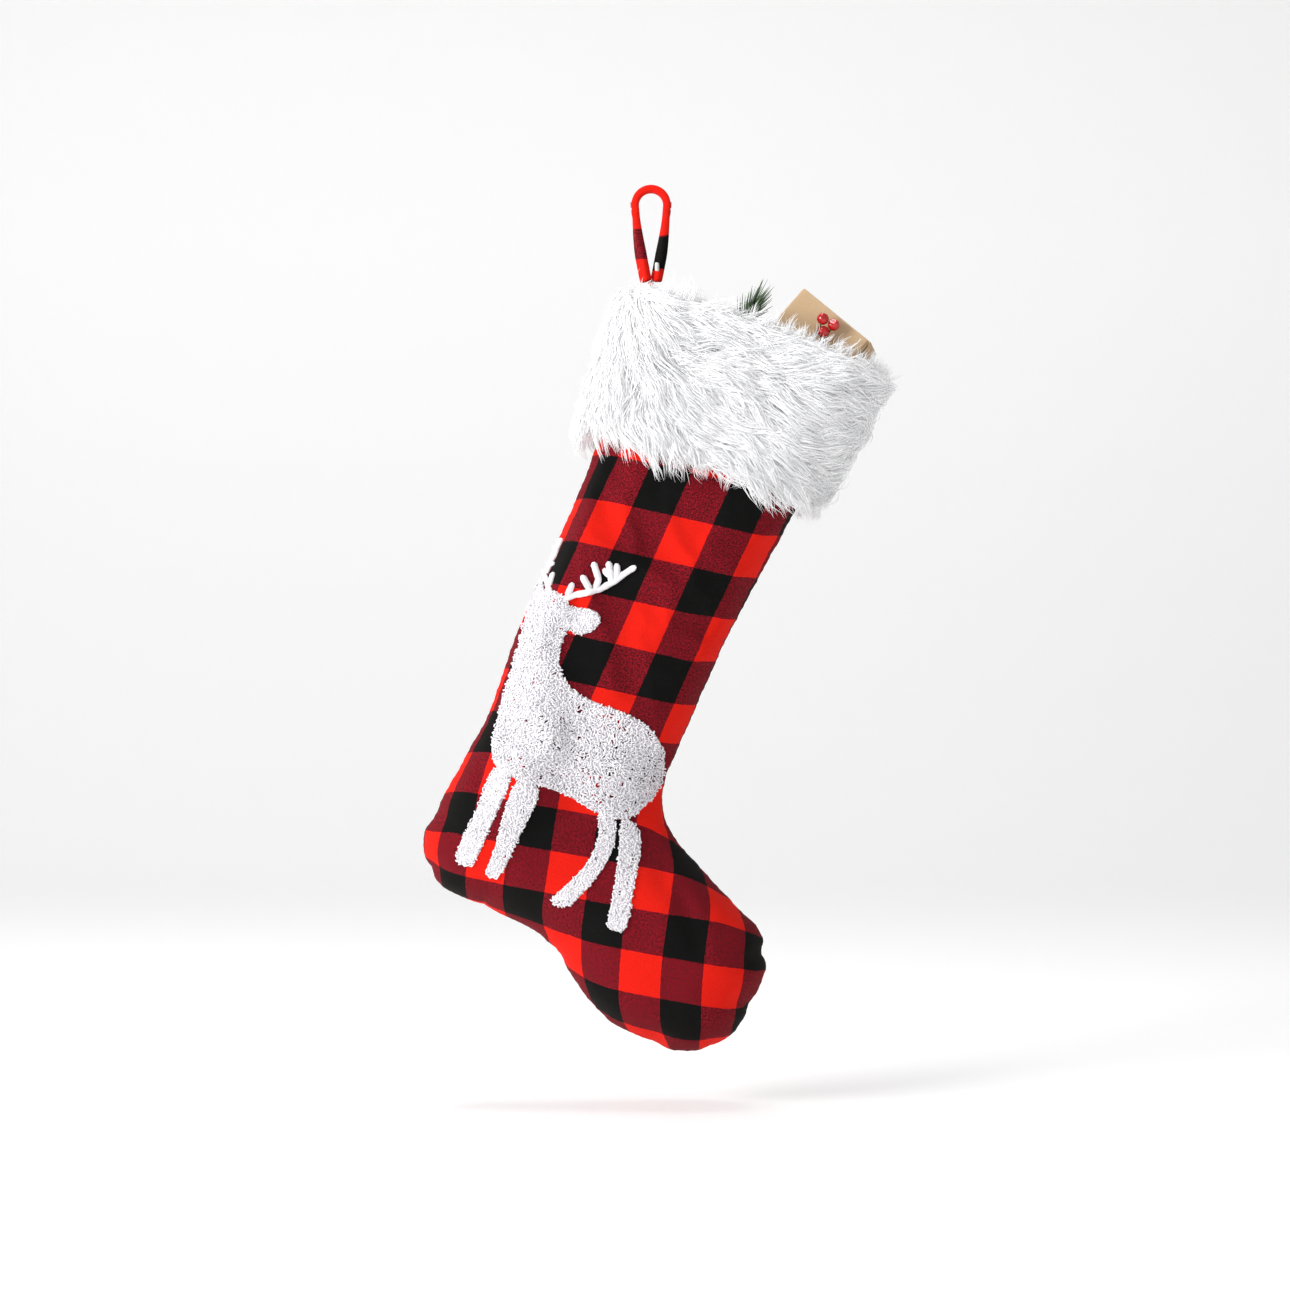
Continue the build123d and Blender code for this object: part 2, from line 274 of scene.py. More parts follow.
def buffaloCheckGroup():
    # x and y of the vector count check squares; odd columns and even rows are the dark yarn
    group, build, given, out = newGroup(
        "buffaloCheck",
        [("Vector", "NodeSocketVector", None), ("Threads", "NodeSocketFloat", flannel["threads"]),
         ("Red", "NodeSocketColor", flannel["red"]), ("Black", "NodeSocketColor", flannel["black"])],
        [("Color", "NodeSocketColor"), ("Height", "NodeSocketFloat")],
    )
    vector = given.outputs["Vector"]
    wobble = build.noise(vector, 9.0, 3.0)
    x, y, _ = build.separate(vector)
    waver = build.math("MULTIPLY", build.math("SUBTRACT", wobble, 0.5), flannel["wobble"])
    x = build.math("ADD", x, waver)
    y = build.math("ADD", y, waver)
    darkWarp = build.math("GREATER_THAN", build.math("FRACT", build.math("MULTIPLY", x, 0.5)), 0.5)
    darkWeft = build.math("LESS_THAN", build.math("FRACT", build.math("MULTIPLY", y, 0.5)), 0.5)
    # twill: warp and weft trade places along slanting lines
    threadX = build.math("MULTIPLY", x, given.outputs["Threads"])
    threadY = build.math("MULTIPLY", y, given.outputs["Threads"])
    slant = build.math("FRACT", build.math("MULTIPLY", build.math("ADD", threadX, threadY), 0.5))
    fuzz = build.noise(vector, 23.0, 3.0, 0.65)
    blot = build.noise(vector, 26.0, 3.0, 0.6)
    mixing = build.math("MULTIPLY", build.math("SUBTRACT", fuzz, 0.5), flannel["fuzz"])
    mixing = build.math("ADD", slant, mixing)
    warpOnTop = build.ramp(mixing, 0.2, 0.8)
    dark = build.math(
        "ADD", build.math("MULTIPLY", darkWarp, warpOnTop),
        build.math("MULTIPLY", darkWeft, build.math("SUBTRACT", 1.0, warpOnTop)),
    )
    # napping smears the two yarns into each other
    soft = build.math("MULTIPLY", build.math("ADD", darkWarp, darkWeft), 0.5)
    dark = build.math("ADD", build.math("MULTIPLY", dark, 1 - flannel["smear"]),
                      build.math("MULTIPLY", soft, flannel["smear"]))
    dark = build.math("POWER", dark, 0.5)
    # where both yarns show, the red turns to wine
    both = build.math("MULTIPLY", build.math("MULTIPLY", soft, build.math("SUBTRACT", 1.0, soft)), 4.0)
    wine = build.mix(both, given.outputs["Red"], flannel["wine"])
    color = build.mix(dark, wine, given.outputs["Black"])
    shade = build.math("ADD", build.math("MULTIPLY", fuzz, 0.6), build.math("MULTIPLY", blot, 0.4))
    low, swing = flannel["shade"]
    shade = build.math("ADD", low, build.math("MULTIPLY", build.ramp(shade, 0.2, 0.8), swing))
    scaled = build.add("ShaderNodeVectorMath", operation="SCALE")
    build.link(color, scaled.inputs[0])
    build.link(shade, scaled.inputs["Scale"])
    build.link(scaled.outputs[0], out.inputs["Color"])
    turn = flannel["fullTurn"]
    cross = build.math("MULTIPLY", build.math("SINE", build.math("MULTIPLY", threadX, turn)),
                       build.math("SINE", build.math("MULTIPLY", threadY, turn)))
    height = build.math("ADD", build.math("MULTIPLY", cross, 0.12), build.math("MULTIPLY", fuzz, 0.6))
    height = build.math("ADD", height, build.math("MULTIPLY", blot, 0.5))
    build.link(height, out.inputs["Height"])
    return group


checkGroup = buffaloCheckGroup()


def flannelMaterial(name, bySkin):
    # bySkin follows the piece's own UV map, otherwise the check lies on its front
    material, build, bsdf = newMaterial(name, 0.92, **{
        "Sheen Weight": 0.03, "Sheen Roughness": 0.5, "Sheen Tint": (1.0, 0.75, 0.7, 1),
        "Specular IOR Level": 0.08,
    })
    if bySkin:
        place = build.add("ShaderNodeUVMap", uv_map="check").outputs[0]
    else:
        x, y, z = build.separate(objectCoords(build))
        square = flannel["square"]
        place = build.combine(build.math("DIVIDE", x, square), build.math("DIVIDE", z, square))
    check = useGroup(build, checkGroup, Vector=place, Threads=flannel["threads"])
    build.link(check.outputs["Color"], bsdf.inputs["Base Color"])
    addBump(build, bsdf, check.outputs["Height"], 0.35 * mm, 0.8)
    return material


def plainClothMaterial(name, color, scale, roughness=0.85):
    # a plain weave on object coordinates, with soft blotches
    material, build, bsdf = newMaterial(name, roughness, **{"Sheen Weight": 0.2})
    position = objectCoords(build)
    x, y, z = build.separate(position)
    warp = build.math("SINE", build.math("MULTIPLY", x, scale))
    weft = build.math("SINE", build.math("MULTIPLY", z, scale))
    depth = build.math("SINE", build.math("MULTIPLY", y, scale))
    weave = build.math("ADD", build.math("MULTIPLY", warp, weft), build.math("MULTIPLY", depth, 0.5))
    blotch = build.noise(position, 60.0, 3.0)
    dim = tuple(c * 0.82 for c in color[:3]) + (1,)
    build.link(build.mix(blotch, dim, color), bsdf.inputs["Base Color"])
    addBump(build, bsdf, weave, 0.15 * mm, 0.6)
    return material


plaid = flannelMaterial("plaidFlannel", bySkin=True)
plaidFlat = flannelMaterial("plaidFlannelFlat", bySkin=False)
liningCloth = plainClothMaterial("liningCloth", (0.72, 0.68, 0.62, 1), 5200.0, 0.6)
waddingCloth = plainClothMaterial("waddingCloth", (0.85, 0.85, 0.83, 1), 900.0)
knitCloth = plainClothMaterial("knitCloth", (0.83, 0.83, 0.85, 1), 3600.0)
print("materials for the cloth are ready")


# Camera, light and floor

view = dict(lens=85.0, sensor=36.0, width=774 * mm, centreX=-3.6 * mm, centreZ=-271.2 * mm)
studio = dict(
    world=0.43, middle=(0, 0, -0.28),
    lights=[  # name, place, size and watts
        ("keyLeft", (-1.6, -1.1, 0.3), 0.9, 40), ("fillRight", (1.5, -1.7, 0.0), 1.4, 4),
        ("topSoft", (0.0, 0.0, 1.2), 0.7, 10),
    ],
)
floorShape = dict(gap=31 * mm, glow=0.12, halfWidth=8.0, halfLength=5.0, front=-3.0,
                  bendFrom=1.6, bendRun=1.2, bendRadius=0.8)


def addCamera():
    data = bpy.data.cameras.new("camera")
    data.lens = view["lens"]
    data.sensor_width = view["sensor"]
    data.clip_end = 50
    camera = bpy.data.objects.new("camera", data)
    away = view["width"] * view["lens"] / view["sensor"]
    camera.location = (view["centreX"], -away, view["centreZ"])
    camera.rotation_euler = (math.radians(90), 0, 0)
    scene.collection.objects.link(camera)
    scene.camera = camera


def addStudio():
    for name, place, size, watts in studio["lights"]:
        data = bpy.data.lights.new(name, "AREA")
        data.shape = "SQUARE"
        data.size = size
        data.energy = watts
        light = bpy.data.objects.new(name, data)
        light.location = place
        light.rotation_euler = (Vector(studio["middle"]) - Vector(place)).to_track_quat("-Z", "Y").to_euler()
        scene.collection.objects.link(light)
    world = bpy.data.worlds.new("studio")
    scene.world = world
    world.use_nodes = True
    background = world.node_tree.nodes["Background"]
    background.inputs["Color"].default_value = (1, 1, 1, 1)
    background.inputs["Strength"].default_value = studio["world"]


def addFloor():
    # a floor that curves up into the backdrop behind the stocking
    low = cadBounds[0][2] - floorShape["gap"]
    start, run, radius = floorShape["bendFrom"], floorShape["bendRun"], floorShape["bendRadius"]
    bm = bmesh.new()
    bmesh.ops.create_grid(bm, x_segments=1, y_segments=60, size=1.0)
    for v in bm.verts:
        along = (v.co.y + 1) * floorShape["halfLength"] + floorShape["front"]
        v.co.x *= floorShape["halfWidth"]
        turn = min(1.0, max(0.0, (along - start) / run)) * math.pi / 2
        v.co.y = min(along, start) + radius * math.sin(turn)
        v.co.z = low + radius * (1 - math.cos(turn)) + max(0.0, along - start - run)
    floor = fromBmesh("floor", bm, upright=False)
    material, build, bsdf = newMaterial("paperFloor", 0.95, **{
        "Base Color": (0.95, 0.95, 0.95, 1), "Emission Color": (1, 1, 1, 1),
        "Emission Strength": floorShape["glow"],
    })
    floor.data.materials.append(material)


addCamera()
addStudio()
addFloor()


# The stocking's outline, upright about the pivot, in millimetres

leg = dict(
    rimLeft=(-3.5, -8.3), rimRight=(142.5, 1.9),
    # corner x, height and rounding, down the heel side and back up the toe side
    corners=[
        (9.5, -103, 400), (9.5, -228, 100), (14.5, -275, 60), (5, -384, 32), (100, -384, 60), (152, -417, 60),
        (233, -417, 42), (233, -331, 34), (128.5, -291, 40), (128.5, -175, 150), (134.5, -103, 150),
    ],
    step=4.2, depth=30.0, roll=44.0, sideDepth=24.0, sideRun=0.6,
    flatter=14, flatterFrom=-90, flatterRun=60, bulge=2.2, fullness=0.62,
)
# where the check lies on the flat cloth: rows, columns, and how both bend at the ankle and the heel side
checkLayout = dict(
    lean=0.2, footLean=0.05, ankle=-234, leanRun=100, leanCentre=67, firstRow=-95.5, rowHeight=27.7,
    footRow=5, footRowHeight=25.7, left=20.5, columnWidth=24.0, bow=0.75, wave=3.0, waveRow=4.4,
    waveWidth=1.8, squeeze=0.2, squeezeFade=0.13, squeezeFrom=-270, squeezeRun=50,
)
# nicks where the seam puckers: place on the seam, depth, width, and how far the crease runs in
puckers = [
    ((20, -376), 2.6, 5.0, 34), ((226, -338), 4.5, 5.0, 40), ((219, -400), 2.4, 5.0, 30),
    ((188, -415), 1.8, 5.0, 26), ((150, -408), 1.6, 6.0, 26), ((112, -390), 1.8, 6.0, 30),
    ((60, -384), 1.5, 6.0, 24), ((8, -345), 1.6, 6.0, 28), ((205, -314), 1.6, 6.0, 26),
    ((232, -372), 1.8, 6.0, 28),
]


def roundedPath(start, corners, end, step):
    # straight runs joined by arcs, as points a step apart
    points = [Vector(start)]
    knots = [Vector(start)] + [Vector(c[:2]) for c in corners] + [Vector(end)]
    for i, corner in enumerate(corners):
        before, here, after = knots[i], knots[i + 1], knots[i + 2]
        into = (here - before).normalized()
        out = (after - here).normalized()
        turn = into.angle_signed(out)
        reach = corner[2] * abs(math.tan(turn / 2))
        side = -1 if turn > 0 else 1
        centre = here - into * reach + Vector((-into.y, into.x)) * corner[2] * side
        first = here - into * reach - centre
        count = max(2, int(corner[2] * abs(turn) / step))
        for k in range(count + 1):
            points.append(centre + Matrix.Rotation(-turn * k / count, 2) @ first)
    points.append(Vector(end))
    return resample(points, step)


def resample(points, step):
    lengths = [0.0]
    for a, b in zip(points, points[1:]):
        lengths.append(lengths[-1] + (b - a).length)
    total = lengths[-1]
    count = int(round(total / step))
    result = []
    j = 0
    for k in range(count + 1):
        target = total * k / count
        while j < len(points) - 2 and lengths[j + 1] < target:
            j += 1
        span = max(1e-9, lengths[j + 1] - lengths[j])
        result.append(points[j].lerp(points[j + 1], (target - lengths[j]) / span))
    return result


def seamPath():
    path = roundedPath(leg["rimLeft"], leg["corners"], leg["rimRight"], leg["step"])
    result = []
    for i, p in enumerate(path):
        before = path[max(0, i - 1)]
        after = path[min(len(path) - 1, i + 1)]
        along = (after - before).normalized()
        inward = Vector((-along.y, along.x))
        nick = 0.0
        for place, depth, width, _ in puckers:
            away = (p - Vector(place)).length
            nick += depth * math.exp(-(away / width) ** 2)
        result.append(p + inward * nick)
    return result


def segmentDistance(points, path):
    # distance from each point to the nearest stretch of an open path
    best = np.full(len(points), 1e9)
    ends = np.array([(p.x, p.y) for p in path])
    for a, b in zip(ends, ends[1:]):
        run = b - a
        t = np.clip(((points - a) @ run) / max(1e-12, run @ run), 0, 1)
        best = np.minimum(best, np.linalg.norm(points - (a + t[:, None] * run), axis=1))
    return best


def inside(points, outline):
    # even-odd test of points against a closed outline
    result = np.zeros(len(points), bool)
    x, y = points[:, 0], points[:, 1]
    for (x0, y0), (x1, y1) in zip(outline, outline[1:] + outline[:1]):
        cross = (y0 > y) != (y1 > y)
        slope = (x1 - x0) / (y1 - y0) if y1 != y0 else 0.0
        result ^= cross & (x < x0 + (y - y0) * slope)
    return result


def checkCoords(x, z):
    # which column and row of the check a place on the cloth is in
    c = checkLayout
    lean = c["lean"] + c["footLean"] * np.clip((-z + c["ankle"]) / c["leanRun"], 0, 1)
    level = z - lean * (x - c["leanCentre"])
    row = np.where(level > c["ankle"], (c["firstRow"] - level) / c["rowHeight"],
                   c["footRow"] + (c["ankle"] - level) / c["footRowHeight"])
    bend = np.clip(row - c["footRow"], 0, None)
    wave = c["wave"] * np.exp(-((bend - c["waveRow"]) / c["waveWidth"]) ** 2)
    shift = c["left"] + c["bow"] * bend ** 2 + wave
    column = (x - shift) / c["columnWidth"]
    squeeze = c["squeeze"] - c["squeezeFade"] * np.clip((-z + c["squeezeFrom"]) / c["squeezeRun"], 0, 1)
    return column - squeeze * np.clip(1 - column, 0, 3) ** 2, row


def pillowProfile(distance, z):
    # half thickness of the filled stocking, from the distance to its seam
    less = leg["flatter"] * np.clip((z - leg["flatterFrom"]) / leg["flatterRun"], 0, 1)
    t = np.clip(distance / (leg["roll"] - less), 0, 1)
    return leg["depth"] * (1 - (1 - t) ** leg["bulge"]) ** leg["fullness"]


def flatTriangles(border, inner):
    # joins a closed border and the points inside it into triangles
    points = border + [Vector(p) for p in inner]
    edges = [(i, (i + 1) % len(border)) for i in range(len(border))]
    verts, _, faces, *_ = geometry.delaunay_2d_cdt(points, edges, [], 1, 1e-5)
    return np.array([(v.x, v.y) for v in verts]), faces


def faceOutward(bm, way):
    # turns a skin inside out if its first face looks along the given inward way
    bm.normal_update()
    bm.faces.ensure_lookup_table()
    if bm.faces[0].normal.dot(way) > 0:
        bmesh.ops.reverse_faces(bm, faces=bm.faces)


def pillowMesh():
    path = seamPath()
    rim = resample([Vector(leg["rimRight"]), Vector(leg["rimLeft"])], leg["step"])[1:-1]
    border = path + rim
    outline = [(p.x, p.y) for p in border]
    low = np.min(outline, axis=0)
    high = np.max(outline, axis=0)
    gap = leg["step"]
    grid = []
    row = 0
    z = low[1]
    while z < high[1]:
        x = low[0] + (row % 2) * gap / 2
        while x < high[0]:
            grid.append((x, z))
            x += gap
        z += gap * 0.866
        row += 1
    grid = np.array(grid)
    grid = grid[inside(grid, outline)]
    closed = border + border[:1]
    grid = grid[segmentDistance(grid, closed) > gap * 0.55]
    flat, faces = flatTriangles([Vector(p) for p in outline], grid)
    distance = segmentDistance(flat, path)
    half = pillowProfile(distance, flat[:, 1])
    bm = bmesh.new()
    front = [bm.verts.new((x * mm, -h * mm, z * mm)) for (x, z), h in zip(flat, half)]
    back = []
    for (x, z), h, d, v in zip(flat, half, distance, front):
        back.append(v if d < 1e-3 else bm.verts.new((x * mm, h * mm, z * mm)))
    for tri in faces:
        bm.faces.new([front[i] for i in tri])
        bm.faces.new([back[i] for i in reversed(tri)])
    faceOutward(bm, Vector((0, 1, 0)))
    return bm


def addCheckUv(bm):
    layer = bm.loops.layers.uv.new("check")
    loops = [loop for face in bm.faces for loop in face.loops]
    place = np.array([(loop.vert.co.x, loop.vert.co.z) for loop in loops]) / mm
    # the cloth runs on round the side towards the seam, so the check does too
    facing = np.array([(loop.vert.normal.x, loop.vert.normal.z) for loop in loops])
    turned = np.clip(leg["sideDepth"] - np.array([abs(loop.vert.co.y) for loop in loops]) / mm, 0, None)
    place = place + facing * (turned * leg["sideRun"])[:, None]
    column, row = checkCoords(place[:, 0], place[:, 1])
    for loop, u, v in zip(loops, column, row):
        loop[layer].uv = (u, v)


clothSim = dict(
    frames=20, cap=5.5, sideways=0.2, pinTop=-84, pinFade=30, gatherWidth=9.0,
    settings=dict(
        quality=6, mass=0.25, tension_stiffness=18, compression_stiffness=12, shear_stiffness=6,
        bending_stiffness=0.6, use_pressure=True, uniform_pressure_force=3.2,
        vertex_group_mass="pin", vertex_group_shrink="gather", shrink_min=-0.025, shrink_max=0.05,
    ),
)


def fillWithAir(bm):
    # the sewn flannel is swollen by its wadding: pressure on a slightly slack skin, gathered at the seam
    mesh = bpy.data.meshes.new("skinStart")
    bm.to_mesh(mesh)
    obj = newObject("skinStart", mesh)
    start = coords(mesh).copy()
    flat = start[:, [0, 2]] / mm
    distance = segmentDistance(flat, seamPath())
    pin = obj.vertex_groups.new(name="pin")
    gather = obj.vertex_groups.new(name="gather")
    for i, (x, z) in enumerate(flat):
        weight = min(1.0, max(0.0, (z - clothSim["pinTop"] + clothSim["pinFade"]) / clothSim["pinFade"]))
        if weight > 0:
            pin.add([i], weight, "REPLACE")
        pull = max(0.0, 1 - distance[i] / clothSim["gatherWidth"])
        if pull > 0:
            gather.add([i], pull, "REPLACE")
    cloth = obj.modifiers.new("cloth", "CLOTH")
    for key, value in clothSim["settings"].items():
        setattr(cloth.settings, key, value)
    cloth.settings.effector_weights.gravity = 0
    cloth.collision_settings.use_collision = False
    cloth.point_cache.frame_start = 1
    cloth.point_cache.frame_end = clothSim["frames"]
    scene.frame_start = 1
    scene.frame_end = clothSim["frames"]
    for number in range(1, clothSim["frames"] + 1):
        scene.frame_set(number)
    move = coords(evaluated(obj)) - start
    length = np.linalg.norm(move, axis=1)
    cap = clothSim["cap"] * mm
    factor = np.where(length > cap, cap / np.maximum(length, 1e-9), 1.0)
    scene.frame_set(1)
    bpy.data.objects.remove(obj)
    return start + move * factor[:, None] * np.array([clothSim["sideways"], 1.0, clothSim["sideways"]])


creases = dict(
    centre=(120, -345), flatSeam=1.5, puckerShare=0.9, rise=0.35, riseWidth=2.2,
    folds=[  # start, end, depth and width
        ((118, -262), (60, -250), 2.2, 9), ((124, -282), (78, -300), 2.6, 9),
        ((22, -285), (64, -300), 1.8, 10), ((130, -300), (96, -330), 1.6, 8),
        ((16, -300), (48, -322), 1.4, 9), ((126, -240), (86, -226), 1.2, 9),
    ],
)


def creaseSkin(bm):
    # shallow creases that run in from each pucker, and a few soft folds round the ankle
    lines = [(Vector(a), Vector(b), depth, width) for a, b, depth, width in creases["folds"]]
    centre = Vector(creases["centre"])
    share = creases["puckerShare"]
    for place, depth, width, reach in puckers:
        start = Vector(place)
        lines.append((start, start + (centre - start).normalized() * reach, depth * share, width * share))
    for v in bm.verts:
        if abs(v.co.y) <= creases["flatSeam"] * mm:
            continue
        p = Vector((v.co.x, v.co.z)) / mm
        sink = 0.0
        for a, b, depth, width in lines:
            run = b - a
            t = min(1.0, max(0.0, (p - a).dot(run) / run.length_squared))
            away = (p - (a + run * t)).length / width
            rise = creases["rise"] * math.exp(-(away / creases["riseWidth"]) ** 2)
            sink += depth * (1 - t) * (math.exp(-away ** 2) - rise)
        v.co.y -= math.copysign(1, v.co.y) * sink * mm


def buildSkin():
    bm = pillowMesh()
    for v, place in zip(bm.verts, fillWithAir(bm)):
        v.co = place
    creaseSkin(bm)
    bmesh.ops.smooth_vert(bm, verts=bm.verts, factor=0.35,
                          use_axis_x=False, use_axis_y=True, use_axis_z=False)
    bm.normal_update()
    return bm


skin = buildSkin()
print("skin is filled:", len(skin.verts), "verts")


def rimHeight(x):
    # height of the rim at a place across the mouth
    (x0, z0), (x1, z1) = leg["rimLeft"], leg["rimRight"]
    return z0 + (z1 - z0) * (x - x0) / (x1 - x0)


def skinLayer(name, offset, thickness, cloth, low=-math.inf, high=math.inf, uv=False, smooth=1, seamGap=0.0):
    # one layer of cloth: a copy of the skin moved along its normals, kept between two heights over the rim
    # and cut back from the side seam
    bm = skin.copy()
    bm.normal_update()
    if uv:
        addCheckUv(bm)
    drop = [v for v in bm.verts
            if not low <= v.co.z / mm - rimHeight(v.co.x / mm) <= high or abs(v.co.y) < seamGap * mm]
    bmesh.ops.delete(bm, geom=drop, context="VERTS")
    moves = [(v, v.normal * offset * mm) for v in bm.verts]
    for v, move in moves:
        v.co += move
    obj = fromBmesh(name, bm, [cloth])
    if smooth:
        addModifier(obj, "SUBSURF", levels=smooth, render_levels=smooth)
    addModifier(obj, "SOLIDIFY", thickness=thickness * mm, offset=-1.0, use_even_offset=False)
    return obj


layers = [
    # name, way out from the skin, thickness, cloth, slot, CAD nodes, fill, and how it is cut
    ("stockingPanels", 0.0, 1.0, plaid, "plaid_flannel", ["front_panel", "back_panel"], 0.5,
     dict(high=-2.5, uv=True)),
    ("stockingWadding", -1.8, 1.2, waddingCloth, "wadding",
     ["front_interlining", "back_interlining", "seam_binding"], 0.4, dict(high=-4, smooth=0, seamGap=1.5)),
    ("stockingLining", -3.2, 0.5, liningCloth, "lining", ["front_lining", "back_lining"], 0.4,
     dict(high=-1, smooth=0)),
    ("mouthFacing", -3.9, 0.9, liningCloth, "lining", ["front_mouth_facing", "back_mouth_facing"], 0.4,
     dict(low=-40, high=0.5)),
    ("cuffBacking", 1.5, 1.3, knitCloth, "knit_backing", ["front_cuff_backing", "back_cuff_backing"], 0.4,
     dict(low=-78)),
]
for layerName, offset, thickness, cloth, slot, nodes, fill, cut in layers:
    layer = skinLayer(layerName, offset, thickness, cloth, **cut)
    ridePiece(layer, "stocking", nodes)
print("cloth layers are built")


# The fur cuff

cuff = dict(
    height=80, ground=4.2, groundThickness=2.8, seed=11,
    locks=1460, strands=16, length=29.0, base=6.6, lift=4.6, radius=0.285, spread=2.9, wave=2.0, gather=0.66,
    thinner=0.85, taper=[1.0, 1.05, 1.0, 0.9, 0.74, 0.5, 0.12], toneShares=(0.62, 0.28, 0.10),
    plump=4.2, plumpRight=0.55, clearHalf=9.0, rollOut=1.3, rollRadius=4.3,
)
# how the strands of a lock differ: ranges for each lock and strand, and the spread of their bends
strandMix = dict(
    reach=(0.62, 1.0), liftLock=(0.5, 1.4), liftStrand=(0.6, 1.3), phase=0.3, cycles=(0.7, 1.4),
    wave=(0.3, 1.4), bendLock=2.5, bendStrand=0.9, strays=0.06, stray=(1.5, 5.0), uneven=0.35,
    fullTurn=6.28,
)
# free-standing tufts: a ruff over the rim, wisps at the two sides and a curly fringe over the hem.
# They grow between two heights over the rim, where the skin faces sideways by at least sideways
tufts = [
    dict(name="furRimRuff", count=520, low=-8, high=0, push=0, way=(0.3, 0, 1.0), scatter=0.3, sideways=-1,
         look=dict(strands=8, length=18.0, lift=2.0, base=4.0, spread=2.2)),
    dict(name="furSideWisps", count=1400, low=-80, high=-3, push=0.75, way=(0.25, 0, -0.45), scatter=0.25,
         sideways=0.55, look=dict(strands=7, length=12.0, lift=1.0, base=4.0, spread=1.8, gather=0.8)),
    dict(name="furHemFringe", count=480, low=-82, high=-73, push=0, way=(0.3, 0, -1.0), scatter=0.35,
         sideways=-1, look=dict(strands=8, length=15.0, lift=3.5, wave=2.8, base=5.0, spread=2.4)),
]


def furMaterial(name, color):
    # the faint white emission is a painted glow that lifts the fur where its strands shade one another
    return tonedMaterial(name, 0.55, [c * 0.86 for c in color], color, (90.0, 3.0, 0.6), **{
        "Emission Color": (1, 1, 1, 1), "Emission Strength": 0.07, "Sheen Weight": 0.3,
        "Specular IOR Level": 0.3,
    })


furTones = [
    furMaterial("furWhite", (0.97, 0.97, 0.98)), furMaterial("furCool", (0.92, 0.92, 0.97)),
    furMaterial("furGrey", (0.85, 0.85, 0.88)),
]
# the ground under the strands: its darker lilac-grey tone is painted shade between the locks, and the noise
# blotches between its two tones are random tone
underFurPaintedShade = tonedMaterial("underFurPaintedShade", 0.8, (0.62, 0.62, 0.68), (0.9, 0.9, 0.92), (420.0, 4.0, 0.7),
                         bump=(1.2, 1.0))


def surfaceSamples(rng, count, low, high):
    # places on the cuff with their outward directions, spread evenly by area
    faces = []
    for face in skin.faces:
        centre = face.calc_center_median() / mm
        depth = centre.z - rimHeight(centre.x)
        if low <= depth <= high:
            faces.append(face)
    areas = np.array([face.calc_area() for face in faces])
    chosen = rng.choice(len(faces), size=count, p=areas / areas.sum())
    places = np.empty((count, 3))
    outward = np.empty((count, 3))
    weights = rng.dirichlet((1, 1, 1), size=count)
    for i, index in enumerate(chosen):
        verts = faces[index].verts[:3]
        places[i] = sum((np.array(v.co) * w for v, w in zip(verts, weights[i])), np.zeros(3))
        outward[i] = sum((np.array(v.normal) * w for v, w in zip(verts, weights[i])), np.zeros(3))
    outward /= np.linalg.norm(outward, axis=1)[:, None]
    return places / mm, outward


brush = dict(
    rimAngle=8, hemTurn=46, heelMore=1.25, rightLift=22, heelShare=0.24, heelAngle=-38, heelTurn=50,
    scatter=8,
    swirls=[(15, 0.085, 0.06, 0.0), (13, -0.04, 0.14, 1.1)],  # degrees, waves along x and z, start
)


def combing(places, rng):
    # the way the fur is brushed: along the rim at the top, turning down towards the hem and the heel side
    x, y, z = places.T
    left, right = leg["rimLeft"][0], leg["rimRight"][0]
    depth = np.clip(-(z - rimHeight(x)) / cuff["height"], 0, 1)
    across = np.clip((x - left) / (right - left), 0, 1)
    angle = brush["rimAngle"] - brush["hemTurn"] * depth * (brush["heelMore"] - across)
    angle = angle + brush["rightLift"] * (across - 0.5)
    heel = np.clip((brush["heelShare"] - across) / brush["heelShare"], 0, 1)
    angle = angle * (1 - heel) + heel * (brush["heelAngle"] - brush["heelTurn"] * depth)
    swirl = sum(size * np.sin(x * waveX + z * waveZ + start) for size, waveX, waveZ, start in brush["swirls"])
    angle = np.radians(angle + swirl + rng.normal(0, brush["scatter"], len(x)))
    return np.stack([np.cos(angle), np.zeros(len(x)), np.sin(angle)], axis=1)


def unit(vectors):
    return vectors / np.maximum(np.linalg.norm(vectors, axis=-1, keepdims=True), 1e-9)


skinOnly = BVHTree.FromBMesh(skin)


def layAlongSkin(places, outward, along, lengths, steps):
    # the path of each lock over the skin, with its outward and sideways directions at each step
    paths = np.empty((len(places), steps, 3))
    ups = np.empty_like(paths)
    sides = np.empty_like(paths)
    for i in range(len(places)):
        p = Vector(places[i]) * mm
        up = Vector(outward[i])
        go = Vector(along[i])
        stride = lengths[i] * mm / (steps - 1)
        for k in range(steps):
            go = (go - up * go.dot(up)).normalized()
            paths[i, k] = p / mm
            ups[i, k] = up
            sides[i, k] = up.cross(go)
            hit, normal, _, _ = skinOnly.find_nearest(p + go * stride)
            p = hit
            up = (up * 0.5 + normal * 0.5).normalized()
    return paths, ups, sides


